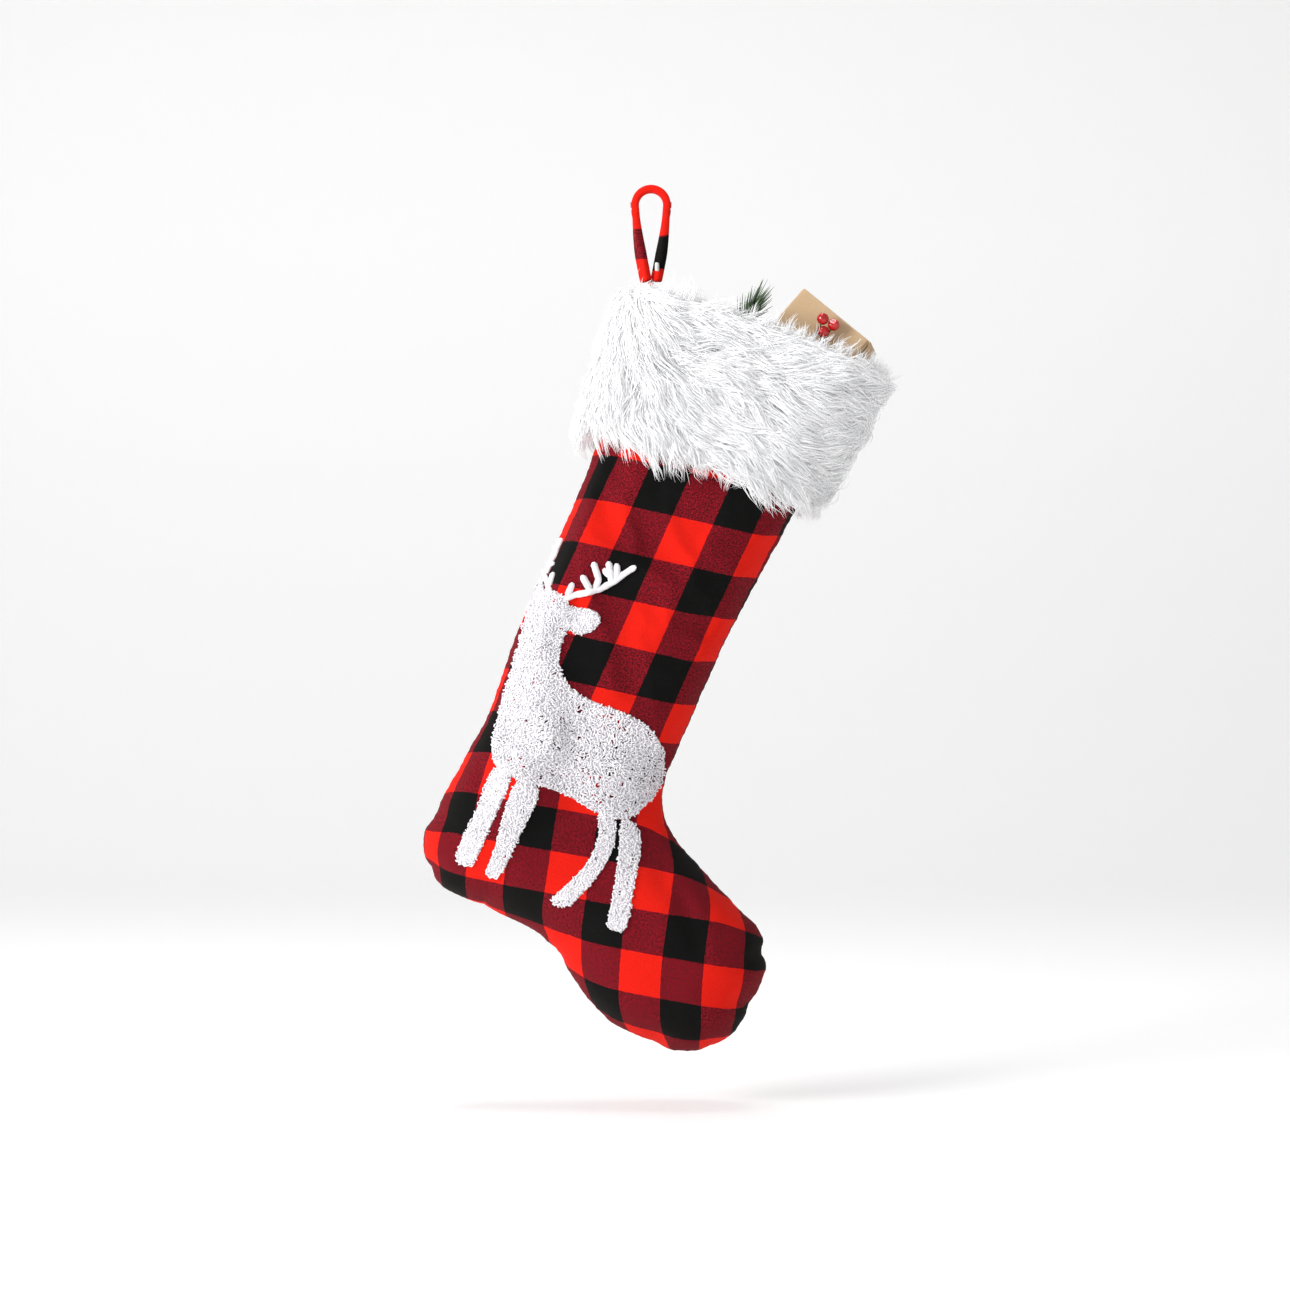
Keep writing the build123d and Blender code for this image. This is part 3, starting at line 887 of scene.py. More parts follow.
def strandShape(rng, count, settings):
    # numbers that every bundle of strands shares, and how each strand leaves the bundle's line
    lock = (count, 1, 1, 1)
    strand = (count, settings["strands"], 1, 1)
    mix = strandMix
    s = np.linspace(0, 1, settings["steps"])[None, None, :, None]
    reach = rng.uniform(*mix["reach"], strand)
    lift = settings["lift"] * rng.uniform(*mix["liftLock"], lock) * rng.uniform(*mix["liftStrand"], strand)
    phase = rng.uniform(0, mix["fullTurn"], lock) + rng.normal(0, mix["phase"], strand)
    cycles = rng.uniform(*mix["cycles"], lock)
    wave = settings["wave"] * rng.uniform(*mix["wave"], lock)
    bend = rng.normal(0, mix["bendLock"], lock) + rng.normal(0, mix["bendStrand"], strand)
    spread = rng.normal(0, settings["spread"], strand)
    start = rng.normal(0, settings["spread"], strand)
    gather = 1 - settings["gather"] * s ** 0.8
    rise = settings["base"] + settings["plump"] + lift * np.sin(np.pi * (s * 0.8 + 0.02)) ** 0.8
    stray = (rng.uniform(0, 1, strand) < mix["strays"]) * rng.uniform(*mix["stray"], strand)
    rise = rise + stray * s ** 1.5 + rng.normal(0, mix["uneven"], strand)
    drift = wave * np.sin(phase + mix["fullTurn"] * cycles * s) * s ** 0.7 + bend * s ** 2
    return s, reach, rise, spread * gather + drift, start * gather * 0.7


def growLocks(rng, places, outward, along, settings):
    # every lock lies along the skin and gathers towards its tip
    count = len(places)
    steps = settings["steps"]
    lengths = settings["length"] * rng.uniform(0.75, 1.12, count)
    paths, ups, sides = layAlongSkin(places, outward, along, lengths, steps)
    s, reach, rise, sideways, start = strandShape(rng, count, settings)
    at = np.clip(s[..., 0] * reach[..., 0] * (steps - 1), 0, steps - 1.001)
    low = at.astype(int)
    part = (at - low)[..., None]
    rows = np.arange(count)[:, None, None]

    def along01(values):
        return values[rows, low] * (1 - part) + values[rows, low + 1] * part

    points = along01(paths) + along01(sides) * sideways + along01(ups) * rise
    points = points + along[:, None, None, :] * start
    return points.reshape(-1, steps, 3), np.repeat(np.arange(count), settings["strands"])


def growTufts(rng, places, outward, along, settings):
    # free-standing tufts that leave the skin in a straight-ish line
    count = len(places)
    flow = unit(along)[:, None, None, :]
    up = outward[:, None, None, :]
    side = unit(np.cross(outward, along))[:, None, None, :]
    s, reach, rise, sideways, start = strandShape(rng, count, settings)
    run = settings["length"] * reach * s * rng.uniform(0.6, 1.15, (count, 1, 1, 1))
    points = places[:, None, None, :] + flow * run + side * sideways + up * rise
    return points.reshape(-1, settings["steps"], 3), np.repeat(np.arange(count), settings["strands"])


def furPiece(name, points, lockOf, rng, radius, nodes=()):
    # strands as tapering runs, each lock in one of the three tones
    steps = points.shape[1]
    knots = cuff["taper"]
    taper = np.interp(np.linspace(0, 1, steps), np.linspace(0, 1, len(knots)), knots)
    turned = points @ np.array(hang.to_3x3()).T * mm + np.array(hang.translation)
    tones = rng.choice(3, size=lockOf.max() + 1, p=cuff["toneShares"])[lockOf]
    piece = roundMesh(name, turned, radius, furTones, radii=[taper] * len(turned), tones=tones)
    ridePiece(piece, "stocking", nodes)


def clearOfLoop(points, lockOf):
    # no fur stands in front of the foot of the hanging loop, or behind it
    across = np.abs(points[:, :, 0]) < cuff["clearHalf"]
    near = across & ((points[:, :, 2] > 0.5) | ((points[:, :, 2] > -4) & (np.abs(points[:, :, 1]) < 6)))
    keep = ~near.any(axis=1)
    return points[keep], lockOf[keep]


def growCuff():
    rng = np.random.default_rng(cuff["seed"])
    thin = 1.0
    look = dict(cuff, steps=6)
    places, outward = surfaceSamples(rng, int(cuff["locks"] * thin), -cuff["height"], 0)
    along = combing(places, rng)
    depth = places[:, 2] - rimHeight(places[:, 0])
    along = along + np.array([[0.1, 0, 0.5]]) * np.clip((depth + 10) / 10, 0, 1)[:, None]
    # the pile stands proudest at the two sides of the cuff
    plump = cuff["plump"] * np.clip((np.abs(outward[:, 0]) - 0.25) / 0.6, 0, 1)
    plump = plump * np.where(outward[:, 0] < 0, 1.0, cuff["plumpRight"])
    look["plump"] = plump[:, None, None, None]
    body, bodyLock = growLocks(rng, places, outward, along, look)
    body, bodyLock = clearOfLoop(body, bodyLock)
    sections = np.quantile(body[:, 0, 0], (0, 0.25, 0.5, 0.75, 1))
    sections[-1] += 1
    for side, mask, nodes in (("Front", body[:, 0, 1] < 0, ["front_cuff_pile"]),
                              ("Back", body[:, 0, 1] >= 0, ["back_cuff_pile"])):
        for number in range(4):
            part = mask & (body[:, 0, 0] >= sections[number]) & (body[:, 0, 0] < sections[number + 1])
            name = "fur" + side + str(number + 1)
            furPiece(name, body[part], bodyLock[part], rng, cuff["radius"], nodes if number == 0 else ())
    look["plump"] = 0.0
    for tuft in tufts:
        places, outward = surfaceSamples(rng, int(tuft["count"] * thin), tuft["low"], tuft["high"])
        kept = np.abs(outward[:, 0]) > tuft["sideways"]
        places, outward = places[kept], outward[kept]
        along = outward * tuft["push"] + np.array([tuft["way"]])
        along = along + rng.normal(0, tuft["scatter"], places.shape)
        grown = growTufts(rng, places, outward, along, dict(look, **tuft["look"]))
        furPiece(tuft["name"], *clearOfLoop(*grown), rng, cuff["radius"] * cuff["thinner"])


ground = skinLayer("cuffGround", cuff["ground"] + cuff["groundThickness"] / 2, cuff["groundThickness"],
                   underFurPaintedShade, low=-cuff["height"] + 1)
ridePiece(ground, "stocking")


def rollRim():
    # the pile cloth folded over the rim: a soft roll all round the mouth
    rimEdges = [e for e in skin.edges if len(e.link_faces) == 1]
    vert = rimEdges[0].verts[0]
    used = set()
    path = []
    while True:
        path.append(vert.co + vert.normal * cuff["rollOut"] * mm)
        onward = [e for e in vert.link_edges if e in rimEdges and e not in used]
        if not onward:
            break
        used.add(onward[0])
        vert = onward[0].other_vert(vert)
        if vert == rimEdges[0].verts[0]:
            break
    path = [hang @ p for p in path]
    roll = roundMesh("cuffRimRoll", [path], cuff["rollRadius"], [underFurPaintedShade], 4, closed=True)
    ridePiece(roll, "stocking")


rollRim()
growCuff()
print("fur is grown")


# The looped-yarn reindeer

reindeer = dict(
    seed=5, yarn=0.42, coatGap=1.42, coatLoop=1.0, smoothGap=1.3, smoothLoop=0.85,
    patchGap=1.5, patchHeight=0.7, slits=0.03, antler=1.95,
    loopLean=0.28, loopWidth=(0.75, 1.25), loopHeight=(0.7, 1.25), loopTall=1.5,
    arch=[(-1.0, -0.25), (-0.85, 0.65), (0.0, 1.0), (0.85, 0.65), (1.0, -0.25)],
)

coatOutline = [
    (11, -205), (13, -194), (27, -191), (36, -197), (40, -205), (39, -214), (40, -223), (43, -231),
    (50, -238), (62, -243), (100, -240), (118, -248), (127, -264), (127, -280), (118, -300), (98, -302),
    (80, -299), (64, -300), (47, -303), (30, -301), (23, -282), (19, -250), (15, -224),
]
muzzleOutline = [
    (29, -196), (35, -197), (40, -195), (47, -193), (52, -193), (55, -196), (55, -201), (52, -206),
    (47, -210), (43, -210), (38, -209), (30, -208),
]
earOutline = [(11, -206), (6, -200), (6, -189), (9, -184), (13, -188), (18, -195), (18, -203)]
legOutlines = [
    [(48, -299), (65, -301), (63, -330), (63, -360), (56, -363), (53, -358), (53, -345), (48, -318)],
    [(31, -299), (46, -299), (45, -330), (46, -360), (38, -363), (32, -358), (34, -330)],
    [(113, -299), (120, -297), (131, -306), (136, -330), (144, -358), (137, -361), (131, -360), (127, -338),
     (120, -316)],
    [(98, -299), (111, -299), (118, -318), (113, -342), (106, -361), (94, -361), (98, -352), (107, -330),
     (106, -312)],
]
antlerRight = [
    [(30, -194), (35, -189), (41, -185), (47, -180), (53, -172), (57, -165), (61, -159)],
    [(31, -192), (31, -183)], [(42, -183), (34, -177)], [(44, -182), (44, -175), (37, -167)],
    [(52, -174), (45, -163)], [(54, -171), (50, -162)], [(56, -168), (55, -165)], [(44, -168), (50, -171)],
]
antlerLeft = [
    [(22, -195), (17, -189), (11, -183), (9, -177), (11, -171), (14, -166)],
    [(19, -191), (18, -182)], [(10, -180), (16, -177)], [(9, -178), (8, -173), (9, -161)],
]


def yarnMaterial(name, shade, light):
    return tonedMaterial(name, 0.85, shade, light, (300.0, 3.0, 0.6), span=(0.25, 0.75), bump=(0.2, 0.8),
                         bumpNoise=(2600.0, 2.0), **{"Sheen Weight": 0.1})


yarn = yarnMaterial("loopYarn", (0.76, 0.74, 0.79), (0.97, 0.95, 0.97))
# the foot under the loops is darker than the loops themselves: painted shade between the loops
yarnFootPaintedShade = yarnMaterial("yarnFootPaintedShade", (0.36, 0.34, 0.37), (0.78, 0.75, 0.79))
skinMesh = evaluated(bpy.data.objects["stockingPanels"])
skinTree = BVHTree.FromPolygons([v.co for v in skinMesh.vertices], [p.vertices[:] for p in skinMesh.polygons])
toward = (hang.to_3x3() @ Vector((0, 1, 0))).normalized()


def onFront(x, z):
    # the place on the front of the stocking that lies behind an upright point, and its outward direction
    start = hang @ (Vector((x, -120, z)) * mm)
    hit, normal, _, _ = skinTree.ray_cast(start, toward)
    if hit is None:
        hit, normal, _, _ = skinTree.find_nearest(start + toward * 0.11)
    if normal.dot(toward) > 0:
        normal = -normal
    return hit, normal


def rounded(outline, rounds=2):
    # cuts every corner of a closed outline, again and again, so that it curves
    points = [Vector(p) for p in outline]
    for _ in range(rounds):
        cut = []
        for a, b in zip(points, points[1:] + points[:1]):
            cut += [a.lerp(b, 0.25), a.lerp(b, 0.75)]
        points = cut
    return [(p.x, p.y) for p in points]


def hexPoints(outline, gap, rng, jitter=0.28):
    outline = rounded(outline)
    low = np.min(outline, axis=0)
    high = np.max(outline, axis=0)
    points = []
    for row, z in enumerate(np.arange(low[1], high[1], gap * 0.866)):
        for x in np.arange(low[0] + (row % 2) * gap / 2, high[0], gap):
            points.append((x, z))
    points = np.array(points) + rng.normal(0, gap * jitter, (len(points), 2))
    return points[inside(points, outline)]


def yarnLoops(name, points, radius, rng, nodes):
    # one small standing loop of yarn at each place
    runs = []
    for x, z in points:
        place, normal = onFront(x, z)
        lean = Vector(rng.normal(0, reindeer["loopLean"], 3))
        up = (normal + lean).normalized()
        side = up.cross(Vector(rng.normal(0, 1, 3))).normalized()
        wide = radius * rng.uniform(*reindeer["loopWidth"]) * mm
        tall = radius * reindeer["loopTall"] * rng.uniform(*reindeer["loopHeight"]) * mm
        runs.append([place + side * wide * a + up * tall * h for a, h in reindeer["arch"]])
    piece = roundMesh(name, runs, reindeer["yarn"], [yarn])
    return ridePiece(piece, "stocking", nodes)


def yarnPatch(name, outline, rng, slits, height):
    # the dense foot of the pile: a low uneven patch, coloured darker than the loops as painted shade between
    # them, with a few slits where the cloth shows through
    gap = reindeer["patchGap"]
    smoothed = rounded(outline)
    border = resample([Vector(p) for p in smoothed] + [Vector(smoothed[0])], gap)[:-1]
    closed = border + border[:1]
    inner = hexPoints(outline, gap, rng, 0.15)
    inner = inner[segmentDistance(inner, closed) > gap * 0.6]
    flat, faces = flatTriangles(border, inner)
    depth = segmentDistance(flat, closed)
    bm = bmesh.new()
    made = []
    for (x, z), d in zip(flat, depth):
        place, normal = onFront(x, z)
        lift = height * (0.15 + 0.85 * min(1.0, d / 1.2)) * rng.uniform(0.75, 1.2)
        made.append(bm.verts.new(place + normal * lift * mm))
    for tri in faces:
        bm.faces.new([made[i] for i in tri])
    # more slits over the rump than elsewhere
    bare = [v for v, (x, z), d in zip(made, flat, depth)
            if d > 2 and rng.uniform() < slits * (2.2 if x > 55 and z < -240 else 0.5)]
    bmesh.ops.delete(bm, geom=bare, context="VERTS")
    faceOutward(bm, toward)
    obj = fromBmesh(name, bm, [yarnFootPaintedShade], upright=False)
    addModifier(obj, "SOLIDIFY", thickness=height * 0.9 * mm, offset=-1.0)
    return ridePiece(obj, "stocking")


def satinStrokes(name, strokes, rng, nodes):
    # antlers: plump cords of yarn laid on the cloth, with rounded ends
    runs = []
    widths = []
    for line in strokes:
        path = [onFront(p.x, p.y) for p in resample([Vector(p) for p in line], 1.5)]
        runs.append([place + normal * 0.35 * mm for place, normal in path])
        widths.append([0.45] + [rng.uniform(0.9, 1.08) for _ in path][1:-1] + [0.45])
    piece = roundMesh(name, runs, reindeer["antler"], [yarn], 4, caps=True, radii=widths)
    return ridePiece(piece, "stocking", nodes)


def stitchReindeer():
    rng = np.random.default_rng(reindeer["seed"])
    gap, loop = reindeer["smoothGap"], reindeer["smoothLoop"]
    low = reindeer["patchHeight"]
    yarnPatch("reindeerCoatFoot", coatOutline, rng, reindeer["slits"], low)
    coat = hexPoints(coatOutline, reindeer["coatGap"], rng)
    yarnLoops("reindeerCoat", coat, reindeer["coatLoop"], rng, ["reindeer_coat"])
    for part, outline in (("Muzzle", muzzleOutline), ("Ear", earOutline)):
        yarnPatch("reindeer" + part + "Foot", outline, rng, 0, low * 1.3)
        node = "reindeer_" + part.lower()
        yarnLoops("reindeer" + part, hexPoints(outline, gap, rng), loop, rng, [node])
    for number, outline in enumerate(legOutlines):
        yarnPatch("reindeerLegFoot" + str(number + 1), outline, rng, 0.01, low * 1.2)
    legPoints = np.concatenate([hexPoints(outline, gap, rng) for outline in legOutlines])
    yarnLoops("reindeerLegs", legPoints, loop, rng, ["reindeer_legs"])
    satinStrokes("reindeerAntlerRight", antlerRight, rng, ["reindeer_antler_right"])
    satinStrokes("reindeerAntlerLeft", antlerLeft, rng, ["reindeer_antler_left"])


stitchReindeer()
print("reindeer is stitched")


# The hanging loop

strap = dict(
    thickness=4.7, width=9.0, eye=7.2, foot=-53.5, footX=2.9, twist=30, twistFrom=-14, twistRun=22,
    corner=1.5, crownBend=8, bow=0.9, darkLeft=(-22, -40), darkRight=(-26, -46), plainAbove=-12, steps=26,
)
barTack = dict(x=3.6, top=-42.7, wraps=9, gap=0.56, half=1.15, front=-4.9, rise=0.75, slant=0.12, thread=0.3)


def strapPath():
    # centre of the folded strip: up one leg, round the crown and down the other
    r = strap["eye"] + strap["thickness"] / 2
    top = -strap["eye"]
    steps = strap["steps"]
    bend = math.radians(strap["crownBend"])
    start = Vector((-strap["footX"], 0, strap["foot"]))
    end = Vector((-r * math.cos(bend), 0, top - r * math.sin(bend)))
    points = []
    for k in range(steps + 1):
        p = start.lerp(end, k / steps)
        p.x -= strap["bow"] * math.sin(math.pi * k / steps)
        points.append(p)
    for k in range(1, steps):
        a = math.pi + bend - (math.pi + 2 * bend) * k / steps
        points.append(Vector((r * math.cos(a), 0, top + r * math.sin(a))))
    return points + [Vector((-p.x, 0, p.z)) for p in reversed(points[:steps + 1])]


def sweepStrap(points, twists):
    # a rounded flat section carried along the path and bridged, section by section
    half, wide, corner = strap["thickness"] / 2, strap["width"] / 2, strap["corner"]
    bm = bmesh.new()
    rings = []
    section = []
    for sx, sy, turn in ((1, 1, 0), (-1, 1, 90), (-1, -1, 180), (1, -1, 270)):
        for k in range(3):
            a = math.radians(turn + 45 * k)
            section.append(Vector((sx * (half - corner) + corner * math.cos(a),
                                   sy * (wide - corner) + corner * math.sin(a))))
    for i, (p, twist) in enumerate(zip(points, twists)):
        along = (points[min(i + 1, len(points) - 1)] - points[max(i - 1, 0)]).normalized()
        outward = Vector((0, 1, 0)).cross(along).normalized()
        turn = Matrix.Rotation(twist, 3, along)
        first, second = turn @ outward, turn @ Vector((0, 1, 0))
        ring = [bm.verts.new((p + first * s.x + second * s.y) * mm) for s in section]
        edges = [bm.edges.new((ring[k], ring[(k + 1) % len(ring)])) for k in range(len(ring))]
        rings.append(edges)
    for a, b in zip(rings, rings[1:]):
        bmesh.ops.bridge_loops(bm, edges=a + b)
    bmesh.ops.holes_fill(bm, edges=rings[0] + rings[-1], sides=0)
    bmesh.ops.recalc_face_normals(bm, faces=bm.faces)
    return bm


def makeStrap():
    points = strapPath()
    twists = []
    for p in points:
        low = min(1.0, max(0.0, (strap["twistFrom"] - p.z) / strap["twistRun"]))
        twists.append(math.radians(strap["twist"]) * low * (1 if p.x < 0 else -1))
    bm = sweepStrap(points, twists)
    layer = bm.loops.layers.uv.new("check")
    for face in bm.faces:
        for loop in face.loops:
            p = loop.vert.co / mm
            start, end = strap["darkLeft"] if p.x < 0 else strap["darkRight"]
            row = 2 + (start - p.z) / (start - end) if p.z < strap["plainAbove"] else 1.4
            column = 1.5 if p.x > 0 and end < p.z < start else 0.5
            loop[layer].uv = (column + p.y / 40, row)
    obj = fromBmesh("hangingLoop", bm, [plaid], upright=False)
    addModifier(obj, "SUBSURF", levels=2, render_levels=2)
    return ridePiece(obj, "loop", ["hanging_loop"])


def threadMaterial(name, color):
    material, build, bsdf = newMaterial(name, 0.5)
    position = objectCoords(build)
    x, y, _ = build.separate(position)
    twist = build.math("SINE", build.math("MULTIPLY", build.math("ADD", x, y), 9000.0))
    dim = tuple(c * 0.7 for c in color[:3]) + (1,)
    build.link(build.mix(build.ramp(twist, -1, 1), dim, color), bsdf.inputs["Base Color"])
    addBump(build, bsdf, twist, 0.1 * mm, 0.5)
    return material


redThread = threadMaterial("redThread", (0.55, 0.01, 0.01, 1))
whiteThread = threadMaterial("whiteThread", (0.9, 0.9, 0.88, 1))


def makeBarTack():
    # satin wraps over a short bar of thread on the strap's front
    runs = []
    tack = barTack
    for k in range(tack["wraps"]):
        z = tack["top"] - k * tack["gap"]
        wide = tack["half"] - 0.012 * (k - 4) ** 2
        angles = [math.pi * j / 6 for j in range(7)]
        runs.append([Vector((tack["x"] - wide * math.cos(a), tack["front"] - tack["rise"] * math.sin(a),
                             z + tack["slant"] * math.cos(a))) * mm for a in angles])
    piece = roundMesh("barTack", runs, tack["thread"], [whiteThread], 1)
    return ridePiece(piece, "loop", ["loop_bar_tack"])


makeStrap()
makeBarTack()
print("hanging loop is made")


# The wrapped gift

gift = dict(
    width=52, depth=28, height=66, lean=17, yaw=-15, corner=(84.5, 34.5), rounding=1.1, tuck=52, flap=26,
    paper=(0.60, 0.42, 0.25, 1), shade=(0.47, 0.32, 0.18, 1),
)


def kraftMaterial():
    material, build, bsdf = newMaterial("kraftPaper", 0.75)
    position = objectCoords(build)
    stretched = objectCoords(build, (1, 1, 6))
    fibre = build.noise(stretched, 620.0, 5.0, 0.7)
    blotch = build.noise(position, 30.0, 3.0)
    crumple = build.noise(position, 110.0, 2.0)
    tone = build.math("ADD", build.math("MULTIPLY", fibre, 0.7), build.math("MULTIPLY", blotch, 0.3))
    build.link(build.mix(build.ramp(tone, 0.3, 0.7), gift["shade"], gift["paper"]), bsdf.inputs["Base Color"])
    height = build.math("ADD", build.math("MULTIPLY", fibre, 0.15), crumple)
    addBump(build, bsdf, height, 0.5 * mm, 0.5)
    return material


kraft = kraftMaterial()


def giftPlace():
    yaw = math.radians(gift["yaw"])
    lean = math.radians(gift["lean"])
    reach = (gift["width"] * math.cos(yaw) + gift["depth"] * abs(math.sin(yaw))) / 2
    top = Vector((gift["corner"][0] + reach * math.cos(lean), 0, gift["corner"][1] - reach * math.sin(lean)))
    turn = Matrix.Rotation(lean, 4, "Y") @ Matrix.Rotation(yaw, 4, "Z")
    return Matrix.Translation(top) @ turn @ Matrix.Translation((0, 0, -gift["height"] / 2))


def placeGift(bm):
    bm.transform(Matrix.Scale(mm, 4) @ giftPlace())


def wrapGift():
    bm = bmesh.new()
    bmesh.ops.create_cube(bm, size=1)
    bmesh.ops.scale(bm, vec=(gift["width"], gift["depth"], gift["height"]), verts=bm.verts)
    bmesh.ops.bevel(bm, geom=bm.edges[:], offset=gift["rounding"], segments=3, profile=0.5,
                    affect="EDGES", material=-1)
    longEdges = [e for e in bm.edges if e.calc_length() > 8]
    bmesh.ops.subdivide_edges(bm, edges=longEdges, cuts=14, use_grid_fill=True)
    rng = np.random.default_rng(3)
    for v in bm.verts:
        bulge = 0.5 * math.sin(v.co.x * 0.21 + v.co.z * 0.17) * math.sin(v.co.z * 0.11 + 0.7)
        edgeFree = min(gift["width"] / 2 - abs(v.co.x), 6) / 6
        edgeFree *= min(gift["height"] / 2 - abs(v.co.z), 6) / 6
        v.co.y += math.copysign(1, v.co.y) * bulge * max(0, edgeFree) * 0.6 + rng.normal(0, 0.03)
    placeGift(bm)
    obj = fromBmesh("giftWrap", bm, [kraft])
    return ridePiece(obj, "gift", ["gift_wrap"])


def foldEnd():
    # folded paper at the end: two side tucks under a top flap that bulges at its fold
    w, d, h = gift["width"] / 2, gift["depth"] / 2, gift["height"] / 2
    tuck, flap = h - gift["tuck"], h - gift["flap"]
    bm = bmesh.new()
    layers = [
        (0.2, [(-d, h), (-d, tuck), (-1, flap)]), (0.5, [(d, h), (d, tuck), (1, flap)]),
        (0.9, [(-d, h), (d, h), (4, flap + 1), (-4, flap + 1)]),
    ]
    for lift, outline in layers:
        face = bm.faces.new([bm.verts.new((w + lift, y, z)) for y, z in outline])
        grown = bmesh.ops.extrude_face_region(bm, geom=[face])
        verts = [g for g in grown["geom"] if isinstance(g, bmesh.types.BMVert)]
        bmesh.ops.translate(bm, verts=verts, vec=(0.35, 0, 0))
    bmesh.ops.recalc_face_normals(bm, faces=bm.faces)
    bmesh.ops.subdivide_edges(bm, edges=bm.edges[:], cuts=5, use_grid_fill=True)
    for v in bm.verts:
        down = (h - v.co.z) / gift["flap"]
        ridge = math.exp(-((down - 0.12) / 0.1) ** 2) * 1.3 + math.exp(-((down - 0.95) / 0.1) ** 2) * 0.9
        v.co.x += ridge * (0.6 + 0.4 * math.sin(v.co.y * 0.5))
    placeGift(bm)
    obj = fromBmesh("giftEndFold", bm, [kraft])
    return ridePiece(obj, "gift", ["gift_end_flap"])


wrapGift()
foldEnd()


# The fir sprig and the berries

sprig = dict(
    foot=(50, 0, -62), lean=9, length=74, twig=1.0, needle=0.5, needleLength=19, rows=17, rowGap=1.9,
    around=10, innerLean=16, outerLean=34, tip=0.15, seed=9,
)
fir = tonedMaterial("firNeedle", 0.5, (0.018, 0.05, 0.02), (0.13, 0.20, 0.10), (240.0, 3.0), span=(0.3, 0.7))
bark = tonedMaterial("twigBark", 0.85, (0.06, 0.035, 0.02), (0.2, 0.13, 0.07), (900.0, 4.0), bump=(0.3, 0.7),
                     stretch=(1, 1, 0.3))


def tubes(name, runs, radius, material, body, nodes, resolution=0, taper=True):
    # thin tubes along short paths given in upright millimetres, tapering to their far ends
    turned = [[hang @ (p * mm) for p in run] for run in runs]
    thinning = 1 - sprig["tip"]
    radii = [[1 - thinning * (k / (len(run) - 1)) ** 2 for k in range(len(run))] for run in runs]
    piece = roundMesh(name, turned, radius, [material], resolution, caps=True, radii=radii if taper else None)
    return ridePiece(piece, body, nodes)


def growSprig():
    rng = np.random.default_rng(sprig["seed"])
    place = Matrix.Translation(sprig["foot"]) @ Matrix.Rotation(math.radians(sprig["lean"]), 4, "Y")
    stem = [place @ Vector((0.6 * math.sin(k * 0.9), 0, sprig["length"] * k / 12)) for k in range(13)]
    tubes("sprigStem", [stem], sprig["twig"], bark, "sprig", ["sprig_stem"], resolution=2)
    needles = []
    for row in range(sprig["rows"]):
        height = sprig["length"] - 1.0 - row * sprig["rowGap"]
        lean = math.radians(sprig["innerLean"] + sprig["outerLean"] * min(1, row / 7))
        for number in range(sprig["around"]):
            turn = 2 * math.pi * (number + 0.5 * (row % 2)) / sprig["around"] + rng.normal(0, 0.2)
            tilt = lean * rng.uniform(0.7, 1.25)
            out = Vector((math.cos(turn), math.sin(turn), 0))
            long = sprig["needleLength"] * rng.uniform(0.75, 1.1)
            run = []
            for k in range(4):
                s = k / 3
                p = Vector((0, 0, height)) + out * (long * s * math.sin(tilt) * (1 - 0.15 * s))
                p.z += long * s * math.cos(tilt) * (1 + 0.04 * s)
                run.append(place @ p)
            needles.append(run)
    return tubes("sprigNeedles", needles, sprig["needle"], fir, "sprig", ["sprig_needles"])


seam = dict(step=6.0, inset=3.6, half=1.0, thread=0.35)


def sewSideSeam():
    # short stitches through the two panels, a little inside the seam line
    path = resample(seamPath(), seam["step"])
    half = seam["half"]
    runs = []
    for a, b in zip(path[2:], path[3:-1]):
        along = (b - a).normalized()
        p = a + Vector((-along.y, along.x)) * seam["inset"]
        runs.append([Vector((p.x, -half, p.y)), Vector((p.x + along.x, 0, p.y + along.y)),
                     Vector((p.x, half, p.y))])
    tubes("sideSeamStitches", runs, seam["thread"], redThread, "stocking", ["seam_stitching"],
          taper=False)


sewSideSeam()

berry = dict(
    radius=3.6, y=-21.4, centres=[(102.5, 20.3), (109.8, 19.6), (106, 13.3)], turns=(35, -40, 10), tip=50,
    dimple=0.9, uneven=0.03, joint=(104, -12), foot=-48, wire=0.6,
)
berryRed = tonedMaterial("berryRed", 0.18, (0.62, 0.006, 0.006), (0.28, 0.002, 0.004), (260.0, 3.0),
                         span=(0.3, 0.75), bump=(0.3, 0.3), bumpNoise=(500.0, 2.0),
                         **{"Coat Weight": 0.6, "Coat Roughness": 0.08})
berryWire = tonedMaterial("berryWire", 0.4, (0.03, 0.06, 0.025), (0.08, 0.11, 0.05), (700.0, 2.0))


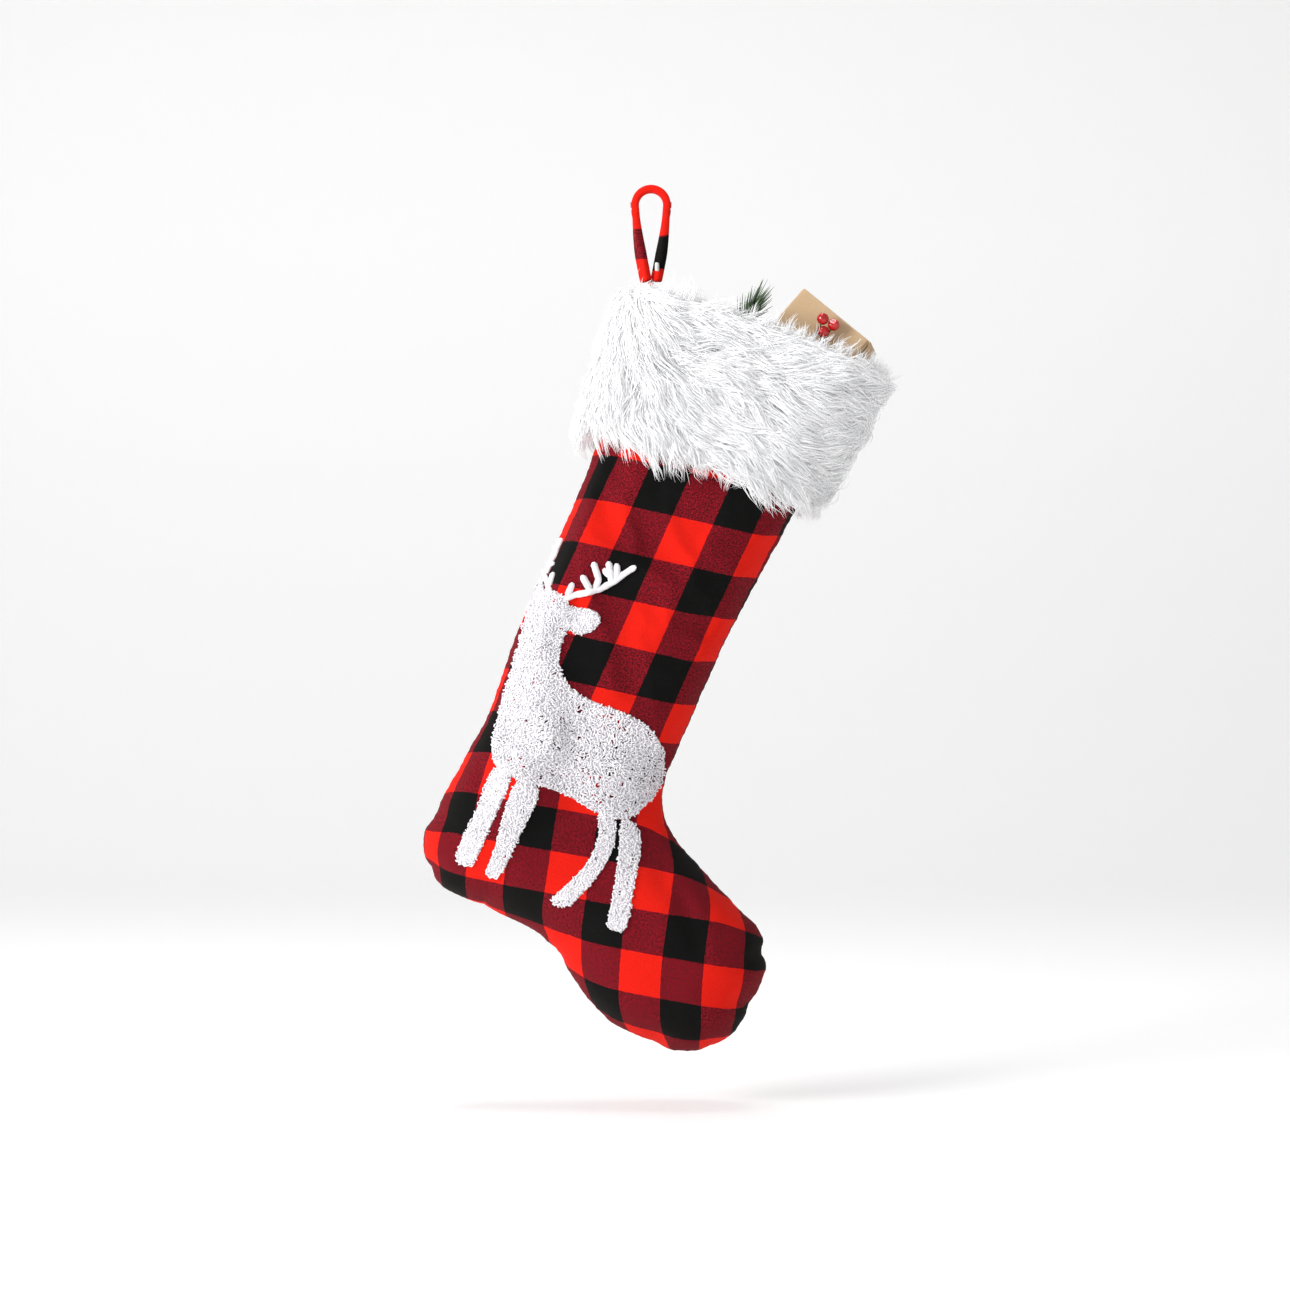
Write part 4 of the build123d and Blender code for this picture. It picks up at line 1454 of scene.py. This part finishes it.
def makeBerries():
    bm = bmesh.new()
    for number, (x, z) in enumerate(berry["centres"]):
        made = bmesh.ops.create_uvsphere(bm, u_segments=32, v_segments=20, radius=berry["radius"])
        for v in made["verts"]:
            # a dimpled crown and a slightly uneven fruit
            top = max(0.0, v.co.z / berry["radius"])
            v.co.z -= berry["dimple"] * top ** 8
            v.co *= 1 + berry["uneven"] * math.sin(3 * v.co.x + number) * math.sin(2 * v.co.y)
        turn = Matrix.Rotation(math.radians(berry["turns"][number]), 4, "Y")
        turn = turn @ Matrix.Rotation(math.radians(berry["tip"]), 4, "X")
        bmesh.ops.transform(bm, matrix=Matrix.Translation((x, berry["y"], z)) @ turn, verts=made["verts"])
    bm.transform(Matrix.Scale(mm, 4))
    obj = fromBmesh("berryFruit", bm, [berryRed])
    ridePiece(obj, "berries", ["berries"])
    joint = Vector((berry["joint"][0], berry["y"], berry["joint"][1]))
    runs = [[Vector((joint.x, joint.y, berry["foot"])), joint.copy()]]
    for x, z in berry["centres"]:
        end = Vector((x, berry["y"], z))
        middle = joint.lerp(end, 0.5) + Vector(((x - joint.x) * 0.12, 0, 0))
        runs.append([joint.copy(), middle, end])
    tubes("berryWires", runs, berry["wire"], berryWire, "berries", ["berry_wires"],
          resolution=2, taper=False)


growSprig()
makeBerries()
print("gift, sprig and berries are in")


# What stays from the frame, in better finishes

greyBoard = tonedMaterial("greyBoard", 0.9, (0.24, 0.23, 0.21), (0.42, 0.40, 0.37), (500.0, 5.0, 0.7),
                          bump=(0.2, 0.4))
clearTape = tonedMaterial("clearTape", 0.15, (0.50, 0.36, 0.21), (0.60, 0.45, 0.28), (200.0, 2.0),
                          **{"Coat Weight": 0.4})
finishes = {
    "gift_box_base": greyBoard, "gift_box_lid": greyBoard, "gift_tape": clearTape, "loop_tail": plaidFlat,
    "loop_edge_stitching": redThread, "loop_anchor_tack": redThread, "rim_stitching": whiteThread,
}
for nodeName, finish in finishes.items():
    node = bpy.data.objects[nodeName]
    if not node.material_slots:
        node.data.materials.append(finish)
    for slot in node.material_slots:
        slot.material = finish
